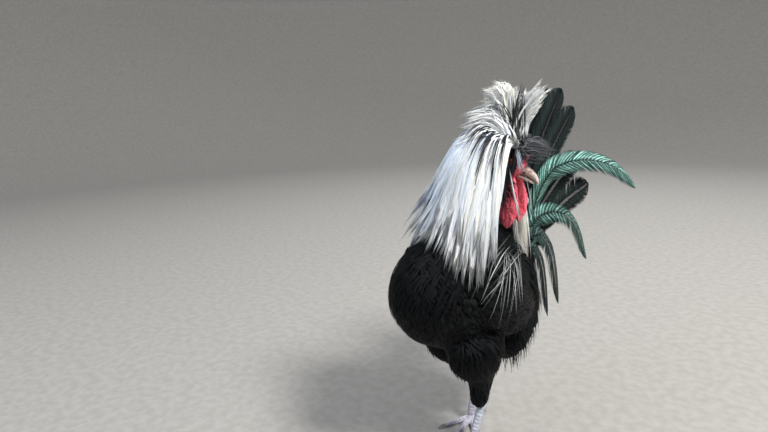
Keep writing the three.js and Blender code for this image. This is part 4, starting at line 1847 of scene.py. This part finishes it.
    def build(self, white: bpy.types.Material, dark: bpy.types.Material) -> None:
        """Makes the white pieces and the black front tuft.

        Args:
            white: The finish of the white pieces and of the dark feathers among them.
            dark: The finish of the front tuft and the cheek.
        """
        for i, (name, low, high, locks) in enumerate(self.sheets):
            batch = Vanes(self.bird)
            self.drape(batch, low, high, locks, self.seed + i)
            declare(batch.build("coat_" + name), Slot.CREST, white, [name])
        batch = Vanes(self.bird)
        for spray in self.sprays:
            self.fan(batch, spray)
        self.streaks(batch)
        for tuft in (self.knob, *self.brow_tufts, *self.strands):
            self.tuft(batch, tuft)
        raised = ["crest_curled_tuft", "crest_tall_tuft"]
        declare(batch.build("coat_crest_tufts"), Slot.CREST, white, raised)
        batch = Vanes(self.bird)
        self.fan(batch, self.visor)
        for tuft in self.cheeks:
            self.tuft(batch, tuft)
        declare(batch.build("coat_crest_front"), Slot.BLACK, dark, ["crest_front"])


@dataclass
class Skin:
    """The one skin under the plumage, with the bare face, wattles and legs."""

    bird: Bird
    depth: float = 6.0
    lid: tuple[float, float] = (5.3, 1.5)
    bare: tuple[str, ...] = ("comb", "earlobe", "wattle")
    hocks: dict[str, Point] = field(
        default_factory=lambda: {"left": (27, 2, 82), "right": (-18.5, 46, 82)}
    )
    ankles: dict[str, Point] = field(
        default_factory=lambda: {"left": (29, -29, 13), "right": (-17.5, 24, 13)}
    )

    def under_coat(self) -> bpy.types.Mesh:
        """Makes the feathered part, inside the solids by the coat's depth.

        Returns:
            The mesh.
        """
        mesh = remeshed(merged("skin_under", [*Plumage.flesh, "crest_knob"]), 0.0032, 8)
        move(mesh, coordinates(mesh) - normals(mesh) * self.depth * MM)
        return mesh

    def paired(self, *names: str) -> list[str]:
        """Returns the solids of both sides."""
        return [f"{name}_{side}" for name in names for side in SIDES]

    def shade(self, mesh: bpy.types.Mesh, values: Array) -> None:
        """Writes the shade attribute."""
        layer = mesh.attributes.new("shade", "FLOAT", "POINT")
        layer.data.foreach_set("value", values.astype(np.float32))

    def lids(self) -> bpy.types.Mesh:
        """Makes a fold of skin round each eye.

        Returns:
            The mesh.
        """
        rings = bmesh.new()
        for sign in SIDES.values():
            ring = bmesh.ops.create_circle(rings, segments=12, radius=self.lid[1])["verts"]
            stand = Matrix.Translation((self.lid[0], 0, 0)) @ Matrix.Rotation(math.pi / 2, 4, "X")
            bmesh.ops.transform(rings, matrix=stand, verts=ring)
            edges = list({e for v in ring for e in v.link_edges})
            spun(rings, edges, 28)
            for v in [v for v in rings.verts if not v.tag]:
                x, y, z = v.co
                place = self.bird.head()([7 + x * 1.12, (16.2 + z) * sign, 6 + y * 0.86])
                v.co = self.bird.out(place)
                v.tag = True
        bmesh.ops.remove_doubles(rings, verts=rings.verts, dist=1e-6)
        bmesh.ops.recalc_face_normals(rings, faces=rings.faces)
        return shaped(rings, "lids")

    def bare_head(self) -> bpy.types.Mesh:
        """Makes the face, comb, earlobes and wattles in fine faces with their folds.

        Returns:
            The mesh.
        """
        whole = merged("skin_head", ["head", *self.paired(*self.bare)])
        both = bmesh.new()
        both.from_mesh(whole.data)
        both.from_mesh(self.lids())
        both.to_mesh(whole.data)
        both.free()
        mesh = remeshed(whole, 0.0008, 4)
        co = coordinates(mesh)
        way = normals(mesh)
        local = self.bird.back(co)
        low = smooth(404, 384, local[:, 2])
        pebble = fractal(local * 0.42)
        fold = fractal(local * [0.22, 0.22, 0.07], 2)
        move(mesh, co + way * (pebble * mixed(0.22, 0.5, low) * MM + fold * low * 0.6 * MM)[:, None])
        # painted shade: the pits between pebbles and the low parts of the folds are darker, the raised
        # parts lighter
        self.shade(mesh, 1.06 + np.clip(pebble * 0.22 + fold * 0.16, -0.26, 0.2))
        return mesh

    def plates(self, local: Array, way: Array) -> tuple[Array, Array]:
        """Works out the plates of the shanks and toes.

        Args:
            local: Points in the bird's frame.
            way: Normals there.

        Returns:
            Height of the plates in millimetres, and the shade of the gaps between them.
        """
        left = local[:, 0] > 2
        hock = np.where(left[:, None], self.hocks["left"], self.hocks["right"])
        ankle = np.where(left[:, None], self.ankles["left"], self.ankles["right"])
        axis = unit(ankle - hock)
        down = np.sum((local - hock) * axis, axis=1)
        front = smooth(0.05, 0.45, -way[:, 1]) * smooth(14, 18, local[:, 2])
        reach = np.hypot(*(local - ankle)[:, :2].T)
        top = smooth(0.0, 0.4, way[:, 2]) * smooth(19, 15, local[:, 2]) * smooth(8, 12, reach)
        saw = np.where(front > top, (down / 5.2) % 1, (reach / 4.0) % 1)
        cover = np.maximum(front, top)
        height = (saw - 0.5) * 0.75 * cover
        return height, 1 - 0.34 * smooth(0.16, 0.0, saw) * cover

    def legs(self) -> bpy.types.Mesh:
        """Makes the shanks and feet in fine faces with their plates.

        Returns:
            The mesh.
        """
        mesh = remeshed(merged("skin_legs", self.paired("shank", "foot")), 0.00085, 3)
        co = coordinates(mesh)
        way = normals(mesh)
        local = self.bird.back(co)
        rough = fractal(local * 0.5)
        lift = smooth(0.6, 3.0, local[:, 2])
        height, shade = self.plates(local, way)
        co = co + way * ((rough * 0.25 + height) * lift * MM)[:, None]
        co[:, 2] = np.maximum(co[:, 2], 0.0002)
        move(mesh, co)
        # painted shade: besides the gaps between the plates, the low places of the rough skin are darker
        # and the high ones lighter
        self.shade(mesh, shade * (1 + np.clip(rough * 0.15, -0.2, 0.1)))
        return mesh

    def build(self, finishes: dict[str, bpy.types.Material]) -> None:
        """Joins the parts into one skin, painted by region.

        Args:
            finishes: The finishes of the down, the face and the shanks.
        """
        joined = bmesh.new()
        for i, mesh in enumerate((self.under_coat(), self.bare_head(), self.legs())):
            for polygon in mesh.polygons:
                polygon.material_index = i
            joined.from_mesh(mesh)
        mesh = shaped(joined, "skin")
        shade = np.ones(len(mesh.vertices), np.float32)
        mesh.attributes["shade"].data.foreach_get("value", shade)
        pink = smooth(60, 20, self.bird.back(coordinates(mesh))[:, 2])
        bare = np.where(shade > 0, shade, 1.0)[:, None]
        paint(mesh, bare * mixed(np.ones(3), np.array([1.06, 0.93, 0.92]), pink[:, None]))
        piece = new_object("skin", mesh)
        index = np.empty(len(mesh.polygons), np.int32)
        mesh.polygons.foreach_get("material_index", index)
        nodes = [*Plumage.flesh, "crest_knob", "head", *self.paired(*self.bare, "shank", "foot")]
        declare(piece, Slot.FACE, finishes["down"], nodes)
        piece.data.materials.append(finishes["face"])
        piece.data.materials.append(finishes["shank"])
        mesh.polygons.foreach_set("material_index", index)


@dataclass
class Horn:
    """The beak, claws and spurs."""

    bird: Bird
    nostril: tuple[float, float] = (24.0, -2.6)

    def refined(self, node: str, voxel: float, relax: int) -> bpy.types.Object:
        """Makes a smooth copy of a solid, shaded where it is part of the beak.

        Args:
            node: The solid.
            voxel: Size of the new faces in metres.
            relax: Rounds of smoothing.

        Returns:
            The piece.
        """
        mesh = remeshed(merged(node, [node], 0.0001), voxel, relax)
        paint(mesh, self.beak_tint(coordinates(mesh)) if node.startswith("beak") else np.ones(3))
        return new_object(node + "_horn", mesh)

    def beak_tint(self, metres: Array) -> Array:
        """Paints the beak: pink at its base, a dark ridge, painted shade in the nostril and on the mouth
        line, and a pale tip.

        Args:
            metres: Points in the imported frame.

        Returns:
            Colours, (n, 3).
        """
        x, y, z = self.bird.in_head(metres).T
        tint = mixed(np.array([1.05, 0.78, 0.74]), np.array([1.12, 1.08, 1.02]), smooth(20, 40, x)[:, None])
        ridge = smooth(2.2, 0.8, np.abs(y)) * smooth(-6.0, -3.0, z + (x - 20) * 0.3) * smooth(40, 34, x)
        # painted shade: the nostril and the mouth line between the mandibles are darkened
        ahead = x - self.nostril[0]
        nostril_shade = smooth(1.3, 0.7, np.hypot(ahead / 1.9, z - self.nostril[1] + ahead * 0.35))
        mouth_line_shade = smooth(1.0, 0.3, np.abs(z + 7.4)) * smooth(38, 30, x)
        fibre = np.clip(fractal(np.stack([x * 0.10, y * 0.8, z * 0.8], 1)), 0, 1)
        dark = np.clip(ridge * 0.6 + nostril_shade * 0.95 + mouth_line_shade * 0.7 + fibre * 0.75, 0, 0.95)
        return tint * (1 - dark)[:, None]

    def build(self, beak: bpy.types.Material, claw: bpy.types.Material) -> None:
        """Makes the pieces of horn.

        Args:
            beak: The finish of the beak.
            claw: The finish of the claws and spurs.
        """
        for node in ("beak_upper", "beak_lower"):
            declare(self.refined(node, 0.0005, 4), Slot.BEAK, beak, [node])
        for side in SIDES:
            claws = [f"claw_{side}_{toe}" for toe in ("middle", "inner", "outer", "hind")]
            for node in [*claws, f"spur_{side}"]:
                declare(self.refined(node, 0.0005, 3), Slot.CLAW, claw, [node])


@dataclass
class Eyes:
    """The eyeballs, flattened spheres in the head's frame."""

    bird: Bird
    at: Point = (7, 14, 6)
    radius: float = 5.8
    depth: float = 4.6

    def ball(self, side: str) -> bpy.types.Object:
        """Makes an eyeball whose rings are marked from the middle of the pupil.

        Args:
            side: The side.

        Returns:
            The piece.
        """
        ball = bmesh.new()
        bmesh.ops.create_uvsphere(ball, u_segments=32, v_segments=24, radius=1.0)
        mesh = shaped(ball, "eye")
        co = coordinates(mesh)
        ring = np.hypot(co[:, 0], co[:, 1]) + (co[:, 2] < 0)
        vane = np.stack([ring, ring * 0, ring * 0], 1)
        sign = SIDES[side]
        local = np.stack([co[:, 0] * self.radius, co[:, 2] * self.depth * sign, co[:, 1] * self.radius], 1)
        middle = np.array([self.at[0], self.at[1] * sign, self.at[2]])
        move(mesh, self.bird.out(self.bird.head()(local + middle)))
        if sign > 0:
            mesh.flip_normals()
        mesh.polygons.foreach_set("use_smooth", np.ones(len(mesh.polygons), bool))
        paint(mesh, np.ones(3), vane)
        return new_object("eye_ball_" + side, mesh)

    def build(self, material: bpy.types.Material) -> None:
        """Makes both eyes."""
        for side in SIDES:
            declare(self.ball(side), Slot.EYE, material, ["eye_" + side])


@dataclass(frozen=True)
class Lamp:
    """An area light, its place in metres to the right of, beyond and over the point it looks at."""

    name: str
    right: float
    beyond: float
    over: float
    size: float
    power: float
    tint: Point


@dataclass
class Studio:
    """Floor, lights and the camera at the photograph's view, with its angles in degrees."""

    bird: Bird
    focal_px: float = 559.0
    frame_px: float = 768.0
    pitch: float = 12.0
    roll: float = -2.2
    azimuth: float = 48.0
    stand: Point = (496.6, -611.2, 510.0)
    aim: Point = (0.0, 0.0, 0.28)
    lamps: tuple[Lamp, ...] = (
        Lamp("key", 1.6, -1.3, 2.6, 0.9, 190.0, (1.0, 0.98, 0.94)),
        Lamp("fill", -2.4, -1.1, 1.3, 2.2, 34.0, (0.80, 0.89, 1.0)),
        Lamp("rim", 0.8, 2.0, 2.2, 1.2, 44.0, (1.0, 1.0, 1.0)),
    )
    sky: Colour = (0.84, 0.88, 0.93, 1)
    sky_strength: float = 0.75

    def axes(self) -> tuple[Array, Array]:
        """Returns the level unit vectors to the right of the view and away from it."""
        a = math.radians(self.azimuth)
        return np.array([math.cos(a), math.sin(a), 0]), np.array([-math.sin(a), math.cos(a), 0])

    def camera(self) -> None:
        """Makes the camera at the photograph's view."""
        _, away = self.axes()
        place = self.bird.out(self.stand)
        data = bpy.data.cameras.new("view")
        data.sensor_width = 36.0
        data.lens = self.focal_px / self.frame_px * data.sensor_width
        made = new_object("view", data)
        p = math.radians(self.pitch)
        look = Vector(away) * math.cos(p) - Vector((0, 0, 1)) * math.sin(p)
        turn = look.to_track_quat("-Z", "Y").to_matrix()
        roll = Matrix.Rotation(math.radians(self.roll), 3, "Z")
        made.matrix_world = Matrix.Translation(Vector(place)) @ (turn @ roll).to_4x4()
        bpy.context.scene.camera = made

    def light(self, lamp: Lamp) -> None:
        """Adds a light.

        Args:
            lamp: Its sizes.
        """
        data = bpy.data.lights.new(lamp.name, "AREA")
        data.size = lamp.size
        data.energy = lamp.power
        data.color = lamp.tint
        right, away = self.axes()
        place = Vector(np.array(self.aim) + right * lamp.right + away * lamp.beyond + [0, 0, lamp.over])
        turn = (Vector(self.aim) - place).to_track_quat("-Z", "Y").to_matrix().to_4x4()
        new_object(lamp.name, data).matrix_world = Matrix.Translation(place) @ turn

    def cove(self) -> None:
        """Makes the floor, which curves up far away so that no edge shows."""
        sheet = bmesh.new()
        flat, bend, top = 3.4, 1.6, 3.2
        line = [(0.02, 0.0), (flat, 0.0)]
        for angle in (math.radians(a) for a in range(9, 91, 9)):
            line.append((flat + bend * math.sin(angle), bend * (1 - math.cos(angle))))
        line.append((flat + bend, top))
        verts = [sheet.verts.new((x, 0, z)) for x, z in line]
        edges = [sheet.edges.new(pair) for pair in zip(verts, verts[1:])]
        spun(sheet, edges, 72)
        rim = [e for e in sheet.edges if all(v.co.xy.length < 0.1 for v in e.verts)]
        bmesh.ops.edgenet_fill(sheet, edges=rim)
        bmesh.ops.recalc_face_normals(sheet, faces=sheet.faces)
        for face in sheet.faces:
            face.smooth = True
            if face.normal.z < 0:
                face.normal_flip()
        floor = new_object("floor", shaped(sheet, "floor"))
        floor.data.materials.append(FloorFinish().make())

    def build(self) -> None:
        """Makes the floor, the lights, the sky and the camera."""
        self.cove()
        for lamp in self.lamps:
            self.light(lamp)
        world = bpy.data.worlds.new("studio")
        world.use_nodes = True
        background = world.node_tree.nodes["Background"].inputs
        background["Color"].default_value = self.sky
        background["Strength"].default_value = self.sky_strength
        bpy.context.scene.world = world
        bpy.context.scene.view_settings.view_transform = "Standard"
        self.camera()


def main() -> None:
    """Builds the bird in order."""
    logging.basicConfig(level=logging.INFO, format="%(name)s %(message)s")
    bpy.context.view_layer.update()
    bird = Bird()
    Studio(bird).build()
    plume = PlumeFinish("black_feather", 0.46, specular=0.07).make()
    crest = PlumeFinish("white_feather", 0.6, shade=0.16, specular=0.3, ribbing=0.04).make()
    tail = PlumeFinish("green_feather", 0.36, metallic=0.35, specular=0.3, shade=0.2).make()
    blade = PlumeFinish("dark_blade", 0.5, specular=0.12).make()
    down = FleshFinish("dark_down", (0.004, 0.004, 0.005, 1), (0.006, 0.006, 0.006, 1), 0.85)
    face = FleshFinish("red_face", (1.0, 0.20, 0.28, 1), (0.92, 0.10, 0.155, 1), 0.42, coat=0.12)
    shank = FleshFinish("slate_shank", (0.42, 0.46, 0.54, 1), (0.29, 0.31, 0.37, 1), 0.55)
    Skin(bird).build({"down": down.make(), "face": face.make(), "shank": shank.make()})
    guide = Guide(bird, Plumage.flesh)
    Plumage(bird, guide).build(plume)
    Tail(bird, Quills(bird)).build(tail, blade)
    Crest(bird, guide).build(crest, plume)
    beak = HornFinish("pale_horn", (0.76, 0.62, 0.58, 1), (0.40, 0.31, 0.30, 1), 0.42).make()
    claw = HornFinish("claw_horn", (0.46, 0.41, 0.36, 1), (0.25, 0.22, 0.2, 1)).make()
    Horn(bird).build(beak, claw)
    Eyes(bird).build(EyeFinish("bay_eye").make())


if __name__ == "__main__":
    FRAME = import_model()
    main()
